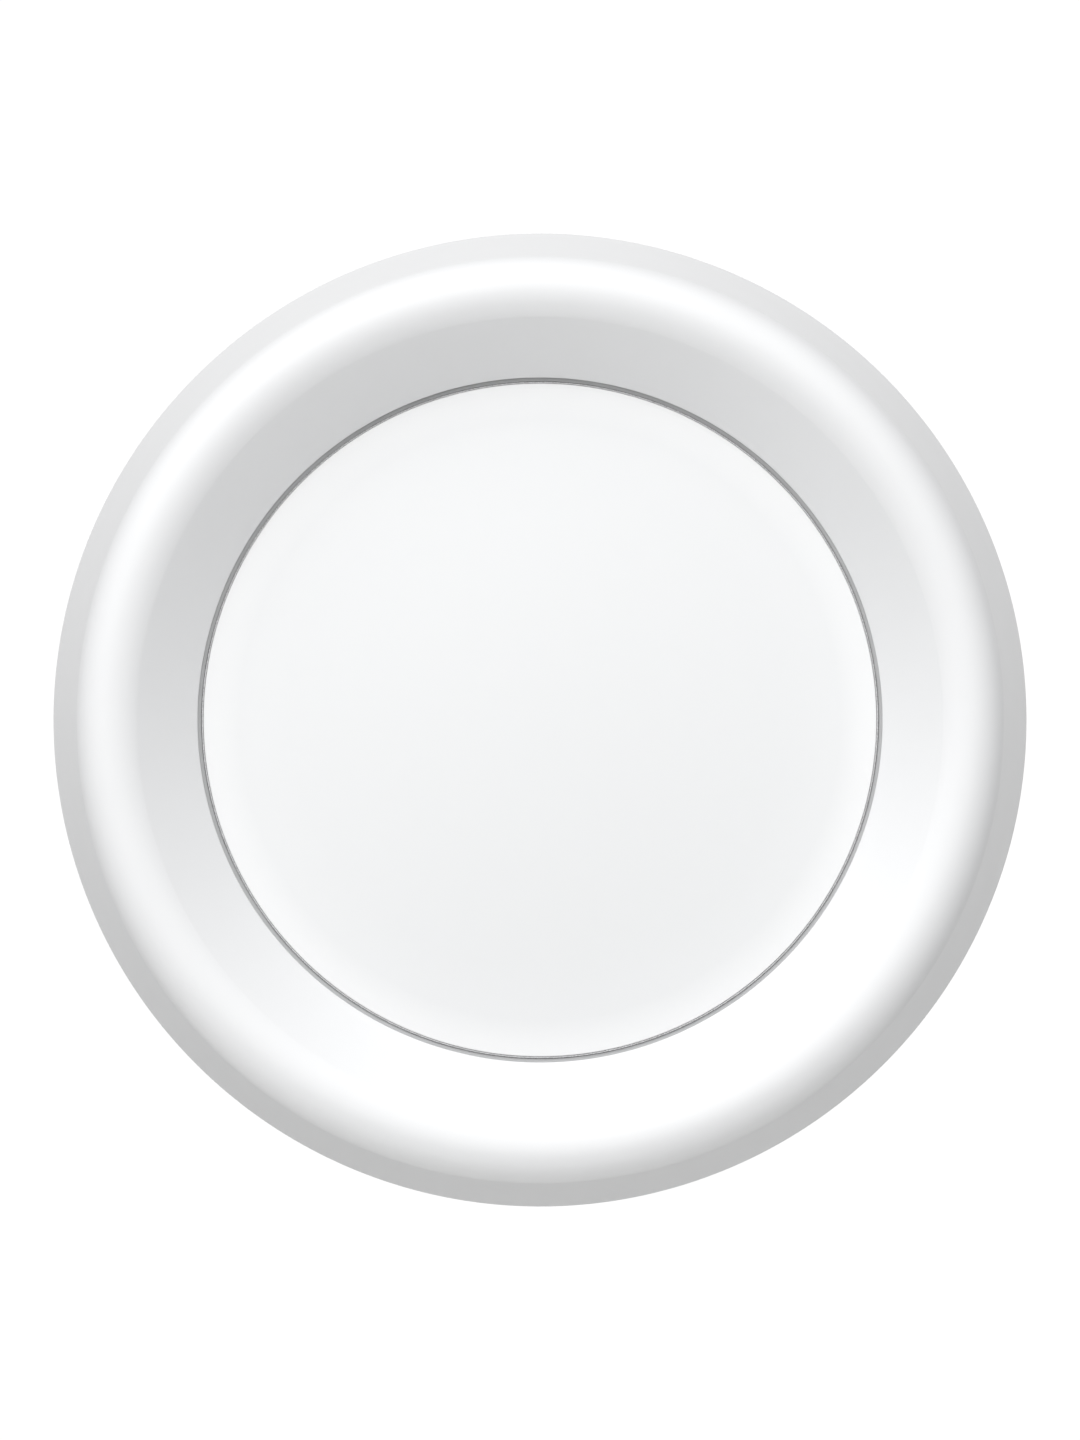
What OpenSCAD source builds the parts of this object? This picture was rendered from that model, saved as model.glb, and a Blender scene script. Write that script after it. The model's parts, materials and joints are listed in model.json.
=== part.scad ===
// Round wall thermostat: a base screwed to the wall, a display unit that pulls off it,
// a front that presses in like a button, and a ring that turns around the lens.
// Every part is drawn in a working frame: x to the right, y up, z from the wall into the room.
// on_wall() turns that frame so that the wall is the XZ plane and the front faces -Y.

/* [Overall] */
// Diameter at the ring's rear edge, the widest point
outer_d = 81; // [80:0.5:84]
// Depth from the wall to the crest of the ring
total_depth = 27; // [27:0.5:29]
// Travel of the front when it is pressed
press_travel = 0.6; // [0.3:0.1:0.6]
// Travel of a terminal lever
lever_travel = 1.2; // [0.6:0.1:1.2]

/* [Ring] */
// Diameter of the circle along the crest of the lip
lip_crest_d = 70.1; // [69.5:0.1:70.5]
// Radius of the lip's outer side
lip_round = 2.96; // [2.8:0.02:3.1]
// Radius of the lip's flatter inner side
lip_inner_round = 3.8; // [3.6:0.1:4]
// Diameter of the crease between the lip and the inner cone
crease_d = 65.6; // [65.2:0.1:66]
// Depth of the cone's inner edge below the crest
cone_depth = 5.724; // [5.5:0.004:5.9]
// Diameter of the cone's inner edge
cone_edge_d = 56.2; // [56:0.1:56.8]
// Height of the ring's rear edge above the wall
ring_rear_z = 10.4; // [10:0.1:11]
// Thickness of the ring's skirt
skirt_t = 1.85; // [1.6:0.05:2]
// Number of stiffening ribs inside the ring
ring_ribs = 24; // [12:4:36]
// Number of windows in the encoder ring
encoder_slots = 60; // [30:6:72]

/* [Lens and display] */
// Diameter of the lens
lens_d = 55.28; // [54.8:0.02:55.4]
// Thickness of the lens at its edge
lens_t = 1.2; // [1:0.1:1.4]
// How far the middle of the lens stands proud of its edge
lens_crown = 2.2; // [1.6:0.1:2.6]
// Diameter of the display panel
panel_d = 46.4; // [44:0.2:46.6]

/* [Base] */
// Diameter of the base
base_d = 72.8; // [72.6:0.1:73]
// Height of the base's rim
base_h = 11.2; // [10.8:0.1:11.2]
// Thickness of the base's floor
floor_t = 2; // [1.8:0.1:2.2]
// Thickness of the base's rim
rim_t = 1.8; // [1.6:0.1:1.9]
// Diameter of the hole that the wall wires come through
wire_hole_d = 17; // [14:0.5:18]
// Distance between the two wall screws
wall_screw_spacing = 55; // [54:0.5:55]
// Diameter of the wall screw holes
wall_screw_hole_d = 4.2; // [3.8:0.1:4.6]
// Distance between neighbouring wire terminals
terminal_pitch = 8; // [8:0.1:8.1]

/* [Hidden] */
$fn = 128;
cut = 0.5; // how far a cutting shape runs past the face that it opens
slip = 0.02; // gap between a screw and its hole
end_play = 0.2; // axial gap of the ring on its bearing

// Ring section
ring_r = outer_d / 2;
lip_r = lip_crest_d / 2;
lip_z = total_depth - lip_round;
cone_edge_r = cone_edge_d / 2;
cone_edge_z = total_depth - cone_depth;
lip_inner_z = total_depth - lip_inner_round;
crease_turn = asin((lip_r - crease_d / 2) / lip_inner_round);
tip_r = cone_edge_r - 0.27;
tip_z = cone_edge_z - 0.68;
cavity_top_r = lip_r + lip_round - skirt_t + 0.1;
skirt_slope = (ring_r - lip_r - lip_round) / (lip_z - ring_rear_z);

// Levels, from the front of the lens back to the wall
lens_edge_z = cone_edge_z - 0.33;
lens_top_z = lens_edge_z + lens_crown;
lens_bottom_z = lens_edge_z - lens_t;
gasket_t = 0.4;
ledge_z = lens_bottom_z - gasket_t;
chassis_z = ledge_z - 2.4;
chassis_floor_t = 1;
frame_z = chassis_z - 0.8;
frame_t = 1.2;
board_t = 1;
board_z = frame_z - frame_t - 0.4;
board_under_z = board_z - board_t;
cover_z = base_h - 2.6;
cover_t = 1.2;
cover_in_z = cover_z + cover_t;

// Radii of the display unit
hub_r = 33.2;
bearing_r = 31.3;
journal_gap = 0.06;
hub_bore_r = bearing_r + journal_gap;
collar_r = 30.7;
neck_r = 30.2;
thrust_z = ledge_z + 0.2 + end_play;
shoulder_z = chassis_z + 0.9;
groove_top_z = shoulder_z - end_play;
groove_z = groove_top_z - 0.8;
hub_z = groove_z - 0.5;
cover_r = 34.2;
cover_wall = 1.2;
cover_rim_z = frame_z - 1.2;
flange_r = 37.4;
board_r = 32.6;
pocket_r = 24.9;

// Guides of the pressing front, and screws of the display unit
guide_angles = [90, 210, 330];
screw_angles = [30, 150, 270];
guide_at_r = 27.5;
guide_post_r = 1.5;
guide_bore_r = 1.54;
guide_stop_z = shoulder_z;
guide_head_t = 0.75;
screw_post_r = 2.6;
screw_post_z = 12.6;
shoulder_post_z = cover_in_z + 2.4;
sleeve_z = chassis_z - 1.6;
screw_at_r = 29;
rear_recess = 1.6;

// Places on the main board
usb_y = 8.5;
battery_y = -11.8;
battery_gap = 0.3;
switch_w = 6;
can_x = 14;
can_hole_pitch = 2;
buzzer_at = [17, 7.5, 0];
climate_at = [8.4, -26.4, 0];
flex_y = -21.5;
flex_socket_y = -17;
light_sensor_y = -24.05;

// Base interior
base_r = base_d / 2;
rim_r = base_r - rim_t;
base_board_z = floor_t + 0.4;
base_board_top = base_board_z + 1;
inner_cover_z = base_board_top + 1;
inner_cover_top = inner_cover_z + 1;
block_x = 12.6;
block_w = 13.4;
block_h = 24.4;
block_top = base_board_top + 3.6;
roof_z = block_top - 0.8;
cover_screw_xy = 20.9;
cover_post_r = 2.4;
wall_post_r = 5.2;
wall_head_r = 4.3;
rim_vent_w = 1.4;
rim_vent_h = 4.4;
spring_w = 8;
screw_shank_r = 0.8;
screw_head_r = 1.9;
cap_x = 10.2;
plug_y = 17.5;
plug_pitch = 2.54;
plug_w = 14.4;
plug_h = 5.2;
pin_w = 0.5;
level_y = -18.5;
level_z = 5.9;
level_r = 2.2;
level_half = 8.7;

// ---------------------------------------------------------------- helpers

module on_wall() {
    rotate([90, 0, 0]) children();
}

// A tube or washer between two radii and two levels
module band(r_in, r_out, z_low, z_high) {
    rotate_extrude() translate([r_in, z_low]) square([r_out - r_in, z_high - z_low]);
}

// A block given by its centre in x and y and by two levels
module block(x, y, w, h, z_low, z_high) {
    translate([x - w / 2, y - h / 2, z_low]) cube([w, h, z_high - z_low]);
}

// An upright cylinder given by two levels
module rod(r, z_low, z_high) {
    translate([0, 0, z_low]) cylinder(r = r, h = z_high - z_low);
}

// Puts its children at each of the given angles, at a distance from the axis
module around(angles, at_r) {
    for (a = angles) rotate(a) translate([at_r, 0, 0]) children();
}

// A flat outline in radius and height, given a width across it
module leaf(outline, width) {
    rotate([90, 0, 0]) linear_extrude(height = width, center = true) polygon(outline);
}

// A plate with rounded upright corners
module rounded_plate(w, h, r, z_low, z_high) {
    translate([0, 0, z_low]) linear_extrude(height = z_high - z_low) union() {
        square([w - 2 * r, h], center = true);
        square([w, h - 2 * r], center = true);
        for (sx = [-1, 1], sy = [-1, 1]) translate([sx * (w / 2 - r), sy * (h / 2 - r)])
            circle(r = r, $fn = 32);
    }
}

// A cross-recessed screw with its head's seat at z = 0, its head upwards and its shank downwards
module screw(head_r, head_t, shank_r, length) {
    difference() {
        union() {
            rod(head_r, 0, head_t * 0.6);
            translate([0, 0, head_t * 0.6]) cylinder(r1 = head_r, r2 = head_r * 0.72, h = head_t * 0.4);
            rod(shank_r, -length, 0);
        }
        for (a = [0, 90]) rotate(a) block(0, 0, head_r * 1.15, head_r * 0.3, head_t * 0.45, head_t + cut);
    }
}

// Puts its children at the two wall screws
module wall_screws() {
    for (s = [-1, 1]) translate([0, s * wall_screw_spacing / 2, 0]) children();
}

// Puts its children at the four screws of the base's inner cover
module cover_corners() {
    for (sx = [-1, 1], sy = [-1, 1]) translate([sx * cover_screw_xy, sy * cover_screw_xy, 0]) children();
}

// Each of the three terminals of one side, in the frame of the right-hand block
module terminals(side) {
    rotate(side > 0 ? 0 : 180) for (i = [-1, 0, 1]) translate([block_x, i * terminal_pitch, 0]) children();
}

// ---------------------------------------------------------------- base

module base_plate() {
    color("whitesmoke") on_wall() difference() {
        union() {
            rotate_extrude() polygon([
                [wire_hole_d / 2, 0], [base_r - 0.6, 0], [base_r, 0.6], [base_r, base_h - 0.4],
                [base_r - 0.4, base_h], [rim_r, base_h], [rim_r, floor_t], [wire_hole_d / 2, floor_t]
            ]);
            wall_screws() rod(wall_post_r, floor_t - cut, inner_cover_z);
            cover_corners() rod(cover_post_r, floor_t - cut, inner_cover_z);
            around([22, 158, 202, 338], 30) rod(1.8, floor_t - cut, base_board_z);
        }
        wall_screws() {
            rod(wall_screw_hole_d / 2, -cut, inner_cover_z + cut);
            rod(wall_head_r, floor_t + 0.6, inner_cover_z + cut);
        }
        cover_corners() rod(screw_shank_r + slip, floor_t, inner_cover_z + cut);
        around(guide_angles, 0) translate([rim_r - 0.8, -spring_w / 2 - 0.6, floor_t])
            cube([1.75, spring_w + 1.2, base_h]);
        for (a = [258:6:282]) rotate(a) translate([rim_r - 1, -rim_vent_w / 2, 4])
            cube([rim_t + 2, rim_vent_w, rim_vent_h]);
    }
}

module base_board() {
    color("forestgreen") on_wall() difference() {
        rod(32.8, base_board_z, base_board_top);
        block(0, 0, 24.8, 24.8, 0, base_h);
        wall_screws() rod(wall_post_r + 0.3, 0, base_h);
        cover_corners() rod(cover_post_r + 0.3, 0, base_h);
    }
}

module base_cover() {
    color("white") on_wall() difference() {
        union() {
            rod(rim_r - 0.3, inner_cover_z, inner_cover_top);
            for (s = [-1, 1]) block(s * (level_half + 0.6), level_y, 1.2, 5, inner_cover_top - cut, 7.6);
        }
        block(0, 0, 2 * (block_x + block_w + 0.4), block_h + 0.8, 0, base_h);
        block(0, plug_y, plug_w + 0.8, plug_h + 0.8, 0, base_h);
        block(0, level_y, 2 * level_half, 2 * level_r + 0.4, 0, base_h);
        wall_screws() rod(wall_head_r + 0.5, 0, base_h);
        cover_corners() rod(1, 0, base_h);
        around(guide_angles, rim_r + 3.2) block(0, 0, 9.6, spring_w + 2, 0, base_h);
    }
}

module cover_screws() {
    color("silver") on_wall() cover_corners() translate([0, 0, inner_cover_top])
        screw(screw_head_r, 1, screw_shank_r, 2.8);
}

module base_parts() {
    color("dimgray") on_wall() {
        block(-11.5, 16.5, 3.2, 1.6, base_board_top, base_board_top + 0.9);
        block(-11.5, 20, 3.2, 1.6, base_board_top, base_board_top + 0.9);
        block(11.5, 18, 4, 5, base_board_top, base_board_top + 0.95);
        block(16, -17, 2, 1.2, base_board_top, base_board_top + 0.7);
        block(-16, -17, 2, 1.2, base_board_top, base_board_top + 0.7);
    }
}

module terminal_block(side) {
    color("gainsboro") on_wall() difference() {
        block(side * (block_x + block_w / 2), 0, block_w, block_h, base_board_top, block_top);
        terminals(side) {
            block(1, 0, 2 + 2 * cut, 2.4, base_board_top + 0.6, roof_z);
            block(7.2, 0, 10.4, 6.4, base_board_top - cut, roof_z);
            block(cap_x, 0, 4, 5.2, roof_z - cut, block_top + cut);
        }
    }
}

module terminal_block_left() {
    terminal_block(-1);
}

module terminal_block_right() {
    terminal_block(1);
}

module contact_bars() {
    color("goldenrod") on_wall() for (side = [-1, 1]) terminals(side) union() {
        block(4.9, 0, 5.4, 5.6, roof_z - 0.3, roof_z);
        block(6.3, 2.6, 2.6, 0.4, base_board_top, roof_z - 0.2);
    }
}

clamp_outline = [
    [5.5, 0], [12.1, 0], [12.3, 0.2], [12.3, 1.6], [12.1, 1.8], [3, 2.05],
    [3, 1.8], [11.95, 1.55], [12.05, 1.45], [12.05, 0.35], [11.95, 0.25], [5.5, 0.25]
];

module clamp_springs() {
    color("lightsteelblue") on_wall() for (side = [-1, 1]) terminals(side)
        translate([0, 0, base_board_top]) leaf(clamp_outline, 3.2);
}

// Levers 1 to 3 run down the left block and 4 to 6 up the right one
module lever(number) {
    side = number <= 3 ? -1 : 1;
    row = number <= 3 ? number - 2 : number - 5;
    color("orange") on_wall() rotate(side > 0 ? 0 : 180) translate([block_x, row * terminal_pitch, 0])
        difference() {
            union() {
                block(cap_x, 0, 3.6, 4.8, roof_z - 0.1, cover_z - 0.3);
                block(cap_x - 0.1, 0, 4.3, 5.8, roof_z - 0.85, roof_z - 0.05);
            }
            translate([cap_x, 0, cover_z + 4.35]) rotate([90, 0, 0])
                cylinder(r = 5, h = terminal_pitch, center = true);
        }
}

module lever_1() {
    lever(1);
}

module lever_2() {
    lever(2);
}

module lever_3() {
    lever(3);
}

module lever_4() {
    lever(4);
}

module lever_5() {
    lever(5);
}

module lever_6() {
    lever(6);
}

// The ten pin positions of the connector between base and display unit
module pins() {
    for (col = [-2:2], row = [-1, 1])
        translate([col * plug_pitch, plug_y + row * plug_pitch / 2, 0]) children();
}

module base_socket() {
    color("dimgray") on_wall() difference() {
        block(0, plug_y, plug_w, plug_h, base_board_top, cover_z - 0.3);
        pins() block(0, 0, 2 * pin_w, 2 * pin_w, base_board_top + 0.8, cover_z);
    }
}

module socket_contacts() {
    color("gold") on_wall() pins() block(-0.425, 0, 0.15, 0.8, base_board_top + 0.8, cover_z - 0.8);
}

module level_tube(r, half) {
    translate([0, level_y, level_z]) rotate([0, 90, 0]) cylinder(r = r, h = 2 * half, center = true);
}

module level_vial() {
    color("honeydew") on_wall() difference() {
        level_tube(level_r, level_half);
        level_tube(level_r - 0.5, level_half - 1);
    }
}

// The liquid holds a bubble of air that touches the top of the vial when the base is level
module level_liquid() {
    color("yellowgreen") on_wall() difference() {
        level_tube(level_r - 0.5 - slip, level_half - 1 - slip);
        translate([0, level_y + 0.5, level_z]) {
            rotate([0, 90, 0]) cylinder(r = 1.15, h = 2.4, center = true, $fn = 48);
            for (s = [-1, 1]) translate([s * 1.2, 0, 0]) sphere(r = 1.15, $fn = 48);
        }
    }
}

latch_outline = [
    [33.4, 2], [35.4, 2], [35.4, 8.6], [34.2, 10.1], [35.2, 11], [34.95, 11.15],
    [33.85, 10.1], [35.1, 8.5], [35.1, 2.3], [33.4, 2.3]
];

module latch_springs() {
    color("silver") on_wall() around(guide_angles, 0) leaf(latch_outline, spring_w);
}

// ---------------------------------------------------------------- display unit

module rear_cover() {
    color("white") on_wall() difference() {
        union() {
            rotate_extrude() polygon([
                [0, cover_z], [cover_r - 0.6, cover_z], [cover_r, cover_z + 0.6], [cover_r, 9.5],
                [cover_r - 0.5, 9.5], [cover_r - 0.5, 10.6], [cover_r, 10.6], [cover_r, base_h + 0.1],
                [flange_r - 0.3, base_h + 0.1], [flange_r, base_h + 0.4], [flange_r, base_h + 1.2],
                [cover_r, base_h + 1.2], [cover_r, cover_rim_z], [cover_r - cover_wall, cover_rim_z],
                [cover_r - cover_wall, board_under_z], [cover_r - cover_wall - 1, board_under_z],
                [cover_r - cover_wall - 1, board_under_z - 1], [cover_r - cover_wall, board_under_z - 1.6],
                [cover_r - cover_wall, cover_in_z], [0, cover_in_z]
            ]);
            around(guide_angles, guide_at_r) {
                rod(2.4, cover_in_z - cut, shoulder_post_z);
                rod(guide_post_r, cover_in_z - cut, guide_stop_z + 0.05);
            }
            around(screw_angles, screw_at_r) rod(screw_post_r, cover_in_z - cut, screw_post_z);
        }
        around(guide_angles, guide_at_r) rod(screw_shank_r + slip, 14, guide_stop_z + cut);
        around(screw_angles, screw_at_r) {
            rod(screw_head_r + 0.2, cover_z - cut, cover_z + rear_recess);
            rod(1, cover_z, screw_post_z + cut);
        }
        block(0, plug_y, plug_w + 0.4, plug_h + 0.4, 0, cover_in_z + cut);
        translate([0, usb_y, 0]) rounded_plate(9.4, 3.6, 1.7, 0, cover_in_z + cut);
        for (s = [-1, 1], i = [0:3]) block(s * (5.2 + 2.2 * i), -25.7, 1.1, 4.4, 0, cover_in_z + cut);
    }
}

module rear_screws() {
    color("silver") on_wall() around(screw_angles, screw_at_r)
        translate([0, 0, cover_z + rear_recess]) mirror([0, 0, 1])
            screw(screw_head_r, 1.2, screw_shank_r + 0.03, 5.2);
}

module mid_frame() {
    color("lightgray") on_wall() difference() {
        union() {
            rod(30, frame_z - frame_t, frame_z);
            around(screw_angles, screw_at_r) rod(2.2, screw_post_z, frame_z - frame_t + 0.1);
            around([60, 180, 300], 24) rod(1.4, board_z, frame_z - frame_t + cut);
        }
        around(guide_angles, guide_at_r) rod(3.3, 12, frame_z + cut);
        around(screw_angles, screw_at_r) rod(screw_shank_r + 0.05, 12, frame_z - 0.546);
        block(0, 0, switch_w + 1.2, switch_w + 1.2, 12, frame_z + cut);
        block(0, -18.7, 12.4, 7.4, 12, frame_z + cut);
        for (s = [-1, 1]) block(s * can_x, 0, 16, 20, 12, frame_z + cut);
        block(0, 16, 22, 6, 12, frame_z + cut);
    }
}

module main_board() {
    color("darkgreen") on_wall() difference() {
        rod(board_r, board_under_z, board_z);
        around(guide_angles, guide_at_r) rod(2.7, 12, board_z + cut);
        around(screw_angles, screw_at_r) rod(screw_post_r, 12, board_z + cut);
    }
}

module board_plug() {
    color("dimgray") on_wall() difference() {
        block(0, plug_y, plug_w, plug_h, cover_z, board_under_z);
        pins() block(0, 0, pin_w, pin_w, 0, board_z);
    }
}

module plug_pins() {
    color("gold") on_wall() pins() union() {
        block(0, 0, pin_w, pin_w, 5.4, board_under_z);
        translate([0, 0, 5]) cylinder(r1 = pin_w / 4, r2 = pin_w / 2, h = 0.4, $fn = 24);
    }
}

module usb_port() {
    color("silver") on_wall() translate([0, usb_y, 0]) union() {
        difference() {
            rounded_plate(9, 3.2, 1.5, cover_z + 0.1, board_under_z);
            rounded_plate(8.4, 2.6, 1.25, 0, board_under_z - 0.4);
        }
        rounded_plate(6.7, 0.7, 0.3, cover_z + 0.6, board_under_z - 0.2);
    }
}

module battery() {
    color("lightsteelblue") on_wall() translate([0, battery_y, 0]) union() {
        rounded_plate(36, 20.4, 1.6, cover_in_z + 2 * battery_gap, cover_in_z + 3.1);
        rounded_plate(35, 19.4, 1.4, cover_in_z + battery_gap, cover_in_z + 3.4);
    }
}

module battery_pad() {
    color("khaki") on_wall() translate([0, battery_y, 0])
        rounded_plate(28, 14, 0.8, cover_in_z, cover_in_z + battery_gap);
}

// A tube swept along points, given a ring of corners for each point
function tube_faces(rings, sides) = concat(
    [[for (j = [sides - 1:-1:0]) j]],
    [for (i = [0:rings - 2], j = [0:sides - 1])
        let (k = (j + 1) % sides, a = i * sides, b = a + sides) [a + j, a + k, b + k, b + j]],
    [[for (j = [0:sides - 1]) (rings - 1) * sides + j]]
);

// Each lead leaves the battery's top edge, droops and rises to its plug on the main board
lead_r = 0.4;
lead_sides = 10;
lead_rings = 16;
lead_start_y = -1.5;
lead_end_y = 5;
lead_droop = 0.7;
lead_low_z = cover_in_z + 2.2;
lead_high_z = board_under_z - 0.75;

function lead_z(t) =
    lead_low_z + (lead_high_z - lead_low_z) * (1 - cos(180 * t)) / 2 - lead_droop * sin(180 * t);

function lead_points(x) = [
    for (i = [0:lead_rings - 1], j = [0:lead_sides - 1])
        let (t = i / (lead_rings - 1), side = j * 360 / lead_sides)
        let (y = lead_start_y + (lead_end_y - lead_start_y) * t)
        [x + lead_r * cos(side), y, lead_z(t) + lead_r * sin(side)]
];

module battery_leads() {
    color("firebrick") on_wall() {
        block(-11.2, lead_end_y + 1.4, 4.2, 2.8, board_under_z - 1.5, board_under_z);
        for (x = [-12, -10.4]) polyhedron(lead_points(x), tube_faces(lead_rings, lead_sides));
    }
}

module processor() {
    color("dimgray") on_wall() block(-14, 3.5, 9, 9, board_z, board_z + 1);
}

module memory_chip() {
    color("dimgray") on_wall() block(-14, -5.8, 8, 6, board_z, board_z + 0.9);
}

module shield_can() {
    color("silver") on_wall() difference() {
        translate([can_x, 0, 0]) rounded_plate(13, 15, 1, board_z, board_z + 1.3);
        translate([can_x, 0, 0]) rounded_plate(12.6, 14.6, 0.8, 0, board_z + 1.1);
        for (i = [-2:2], j = [-2.5:2.5]) translate([can_x + i * can_hole_pitch, j * can_hole_pitch, 0])
            rod(0.3, board_z, board_z + 2, $fn = 16);
    }
}

module power_parts() {
    color("dimgray") on_wall() {
        block(-19.5, 11, 4.4, 4.4, board_under_z - 2, board_under_z);
        translate([-14, 12.5, 0]) rod(1.8, board_under_z - 2.2, board_under_z);
        block(-20.5, 4.5, 3, 2, board_under_z - 1, board_under_z);
        block(-12.5, 18.2, 2.4, 1.6, board_under_z - 0.9, board_under_z);
        block(12.5, 18.2, 2.4, 1.6, board_under_z - 0.9, board_under_z);
    }
}

module buzzer_plate() {
    color("goldenrod") on_wall() translate(buzzer_at) rod(6, board_under_z - 0.7, board_under_z - 0.4);
}

module buzzer_disc() {
    color("ivory") on_wall() translate(buzzer_at) rod(4.4, board_under_z - 0.95, board_under_z - 0.7);
}

module climate_sensor() {
    color("lightgray") on_wall() translate(climate_at) difference() {
        block(0, 0, 3, 3, board_under_z - 1, board_under_z);
        rod(0.5, 0, board_under_z - 0.6, $fn = 24);
    }
}

module ring_sensor() {
    color("dimgray") on_wall() rotate(60) block(31.3, 0, 2, 3.4, board_z, board_z + 0.5);
}

module flex_socket() {
    color("ivory") on_wall() difference() {
        block(0, flex_socket_y, 11, 3.2, board_z, board_z + 1.1);
        block(0, flex_socket_y - 1.6, 8.4, 2, board_z + 0.5, board_z + 0.8);
    }
}

module switch_body() {
    color("dimgray") on_wall() difference() {
        block(0, 0, switch_w, switch_w, board_z, chassis_z - 0.8);
        rod(1.64, board_z + 0.4, chassis_z);
    }
}

module switch_dome() {
    dome_r = 2.2;
    color("silver") on_wall() intersection() {
        rod(1.55, board_z + 0.4, board_z + 1.2);
        translate([0, 0, board_z + 1.05 - dome_r]) difference() {
            sphere(r = dome_r);
            sphere(r = dome_r - 0.12);
        }
    }
}

module switch_plunger() {
    color("black") on_wall() rod(1.6, board_z + 1.1, chassis_z);
}

spring_wire_r = 0.16;
spring_coil_r = 1.85;
spring_turns = 4;
spring_steps = 16;
spring_sides = 6;
spring_rings = spring_turns * spring_steps + 1;
spring_points = [
    for (i = [0:spring_rings - 1], j = [0:spring_sides - 1])
        let (turn = i * 360 / spring_steps, side = j * 360 / spring_sides)
        let (reach = spring_coil_r + spring_wire_r * cos(side))
        let (climb = (sleeve_z - shoulder_post_z - 2 * spring_wire_r) * i / (spring_rings - 1))
        [reach * cos(turn), reach * sin(turn), shoulder_post_z + spring_wire_r * (1 + sin(side)) + climb]
];

module return_springs() {
    color("silver") on_wall() around(guide_angles, guide_at_r)
        polyhedron(spring_points, tube_faces(spring_rings, spring_sides));
}

// ---------------------------------------------------------------- pressing front

module display_chassis() {
    color("lightgray") on_wall() difference() {
        union() {
            rotate_extrude() polygon([
                [0, chassis_z], [neck_r, chassis_z], [neck_r, shoulder_z], [collar_r + 0.3, shoulder_z],
                [collar_r + 0.3, shoulder_z + 0.2], [collar_r, shoulder_z + 0.2], [collar_r, ledge_z],
                [pocket_r, ledge_z], [pocket_r, chassis_z + chassis_floor_t], [0, chassis_z + chassis_floor_t]
            ]);
            around(guide_angles, guide_at_r) rod(2.6, sleeve_z, chassis_z + cut);
        }
        around(guide_angles, guide_at_r) {
            rod(guide_bore_r, sleeve_z - cut, ledge_z);
            rod(2, guide_stop_z, ledge_z + cut);
        }
        block(0, flex_y, 10, 1, 0, chassis_z + chassis_floor_t + cut);
    }
}

module guide_screws() {
    color("silver") on_wall() around(guide_angles, guide_at_r)
        translate([0, 0, guide_stop_z + 0.05]) screw(1.8, guide_head_t, screw_shank_r, 3.6);
}

module backlight() {
    color("white") on_wall() rod(panel_d / 2, chassis_z + chassis_floor_t, ledge_z - 0.7);
}

module display_panel() {
    color("black") on_wall() rod(panel_d / 2, ledge_z - 0.7, ledge_z + 0.3);
}

module panel_holder() {
    color("ivory") on_wall() difference() {
        band(panel_d / 2 + slip, pocket_r - slip, chassis_z + chassis_floor_t, ledge_z);
        block(0, light_sensor_y, 3, 3, 0, ledge_z + cut);
    }
}

module light_sensor() {
    color("black") on_wall() block(0, light_sensor_y, 2.2, 1.2, chassis_z + chassis_floor_t, ledge_z - 0.4);
}

flex_t = 0.15;
flex_z = board_z + 0.57;
flex_end_y = flex_socket_y - 1.6;
flex_outline = [
    [flex_y, flex_z], [flex_end_y, flex_z], [flex_end_y, flex_z + flex_t],
    [flex_y + flex_t, flex_z + flex_t], [flex_y + flex_t, chassis_z + 1], [flex_y, chassis_z + 1]
];

module display_flex() {
    color("darkorange") on_wall() rotate([90, 0, 90])
        linear_extrude(height = 8, center = true) polygon(flex_outline);
}

module lens_gasket() {
    color("gray") on_wall() band(25.2, 28.2, ledge_z, lens_bottom_z);
}

// The lens is a shallow dome of even thickness, with a flat rim that sits on its gasket
lens_r = lens_d / 2;
lens_bevel = 0.2;
dome_r = (lens_r * lens_r + lens_crown * lens_crown) / (2 * lens_crown);
dome_steps = 24;

function dome_z(r) = lens_top_z - dome_r + sqrt(dome_r * dome_r - r * r);

lens_outline = concat(
    [for (i = [0:dome_steps]) let (r = pocket_r * i / dome_steps) [r, dome_z(r) - lens_t]],
    [[pocket_r, lens_bottom_z], [lens_r, lens_bottom_z], [lens_r, lens_edge_z - lens_bevel]],
    [for (i = [dome_steps:-1:0]) let (r = (lens_r - lens_bevel) * i / dome_steps) [r, dome_z(r)]]
);

module lens() {
    color("white") on_wall() rotate_extrude() polygon(lens_outline);
}

module ring_bearing() {
    color("ivory") on_wall() band(collar_r + slip, bearing_r, shoulder_z + 0.2, ledge_z + 0.2);
}

// ---------------------------------------------------------------- turning ring

function lip_arc(z, radius, from, to) = [
    for (i = [0:32]) let (a = from + (to - from) * i / 32) [lip_r + radius * cos(a), z + radius * sin(a)]
];

ring_outline = concat(
    [[ring_r - 0.3, ring_rear_z], [ring_r, ring_rear_z + 0.4]],
    lip_arc(lip_z, lip_round, 3, 90),
    lip_arc(lip_inner_z, lip_inner_round, 91, 90 + crease_turn),
    [
        [cone_edge_r, cone_edge_z], [cone_edge_r, tip_z], [tip_r, tip_z], [tip_r + 0.15, tip_z - 0.2],
        [29.3, tip_z - 0.2],
        [30, tip_z + 0.5], [30, thrust_z], [hub_bore_r, thrust_z], [hub_bore_r, groove_top_z],
        [32, groove_top_z], [32, groove_z], [hub_bore_r, groove_z], [hub_bore_r, hub_z],
        [hub_r + 1.8, hub_z], [hub_r + 1.8, ring_rear_z]
    ]
);
ring_cavity = [
    [hub_r, ring_rear_z - 1], [hub_r, lip_z - 1], [lip_r - 0.8, lip_z + 0.7], [lip_r + 0.5, lip_z + 0.9],
    [cavity_top_r, lip_z], [cavity_top_r + skirt_slope * (lip_z - ring_rear_z + 1), ring_rear_z - 1]
];
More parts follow.
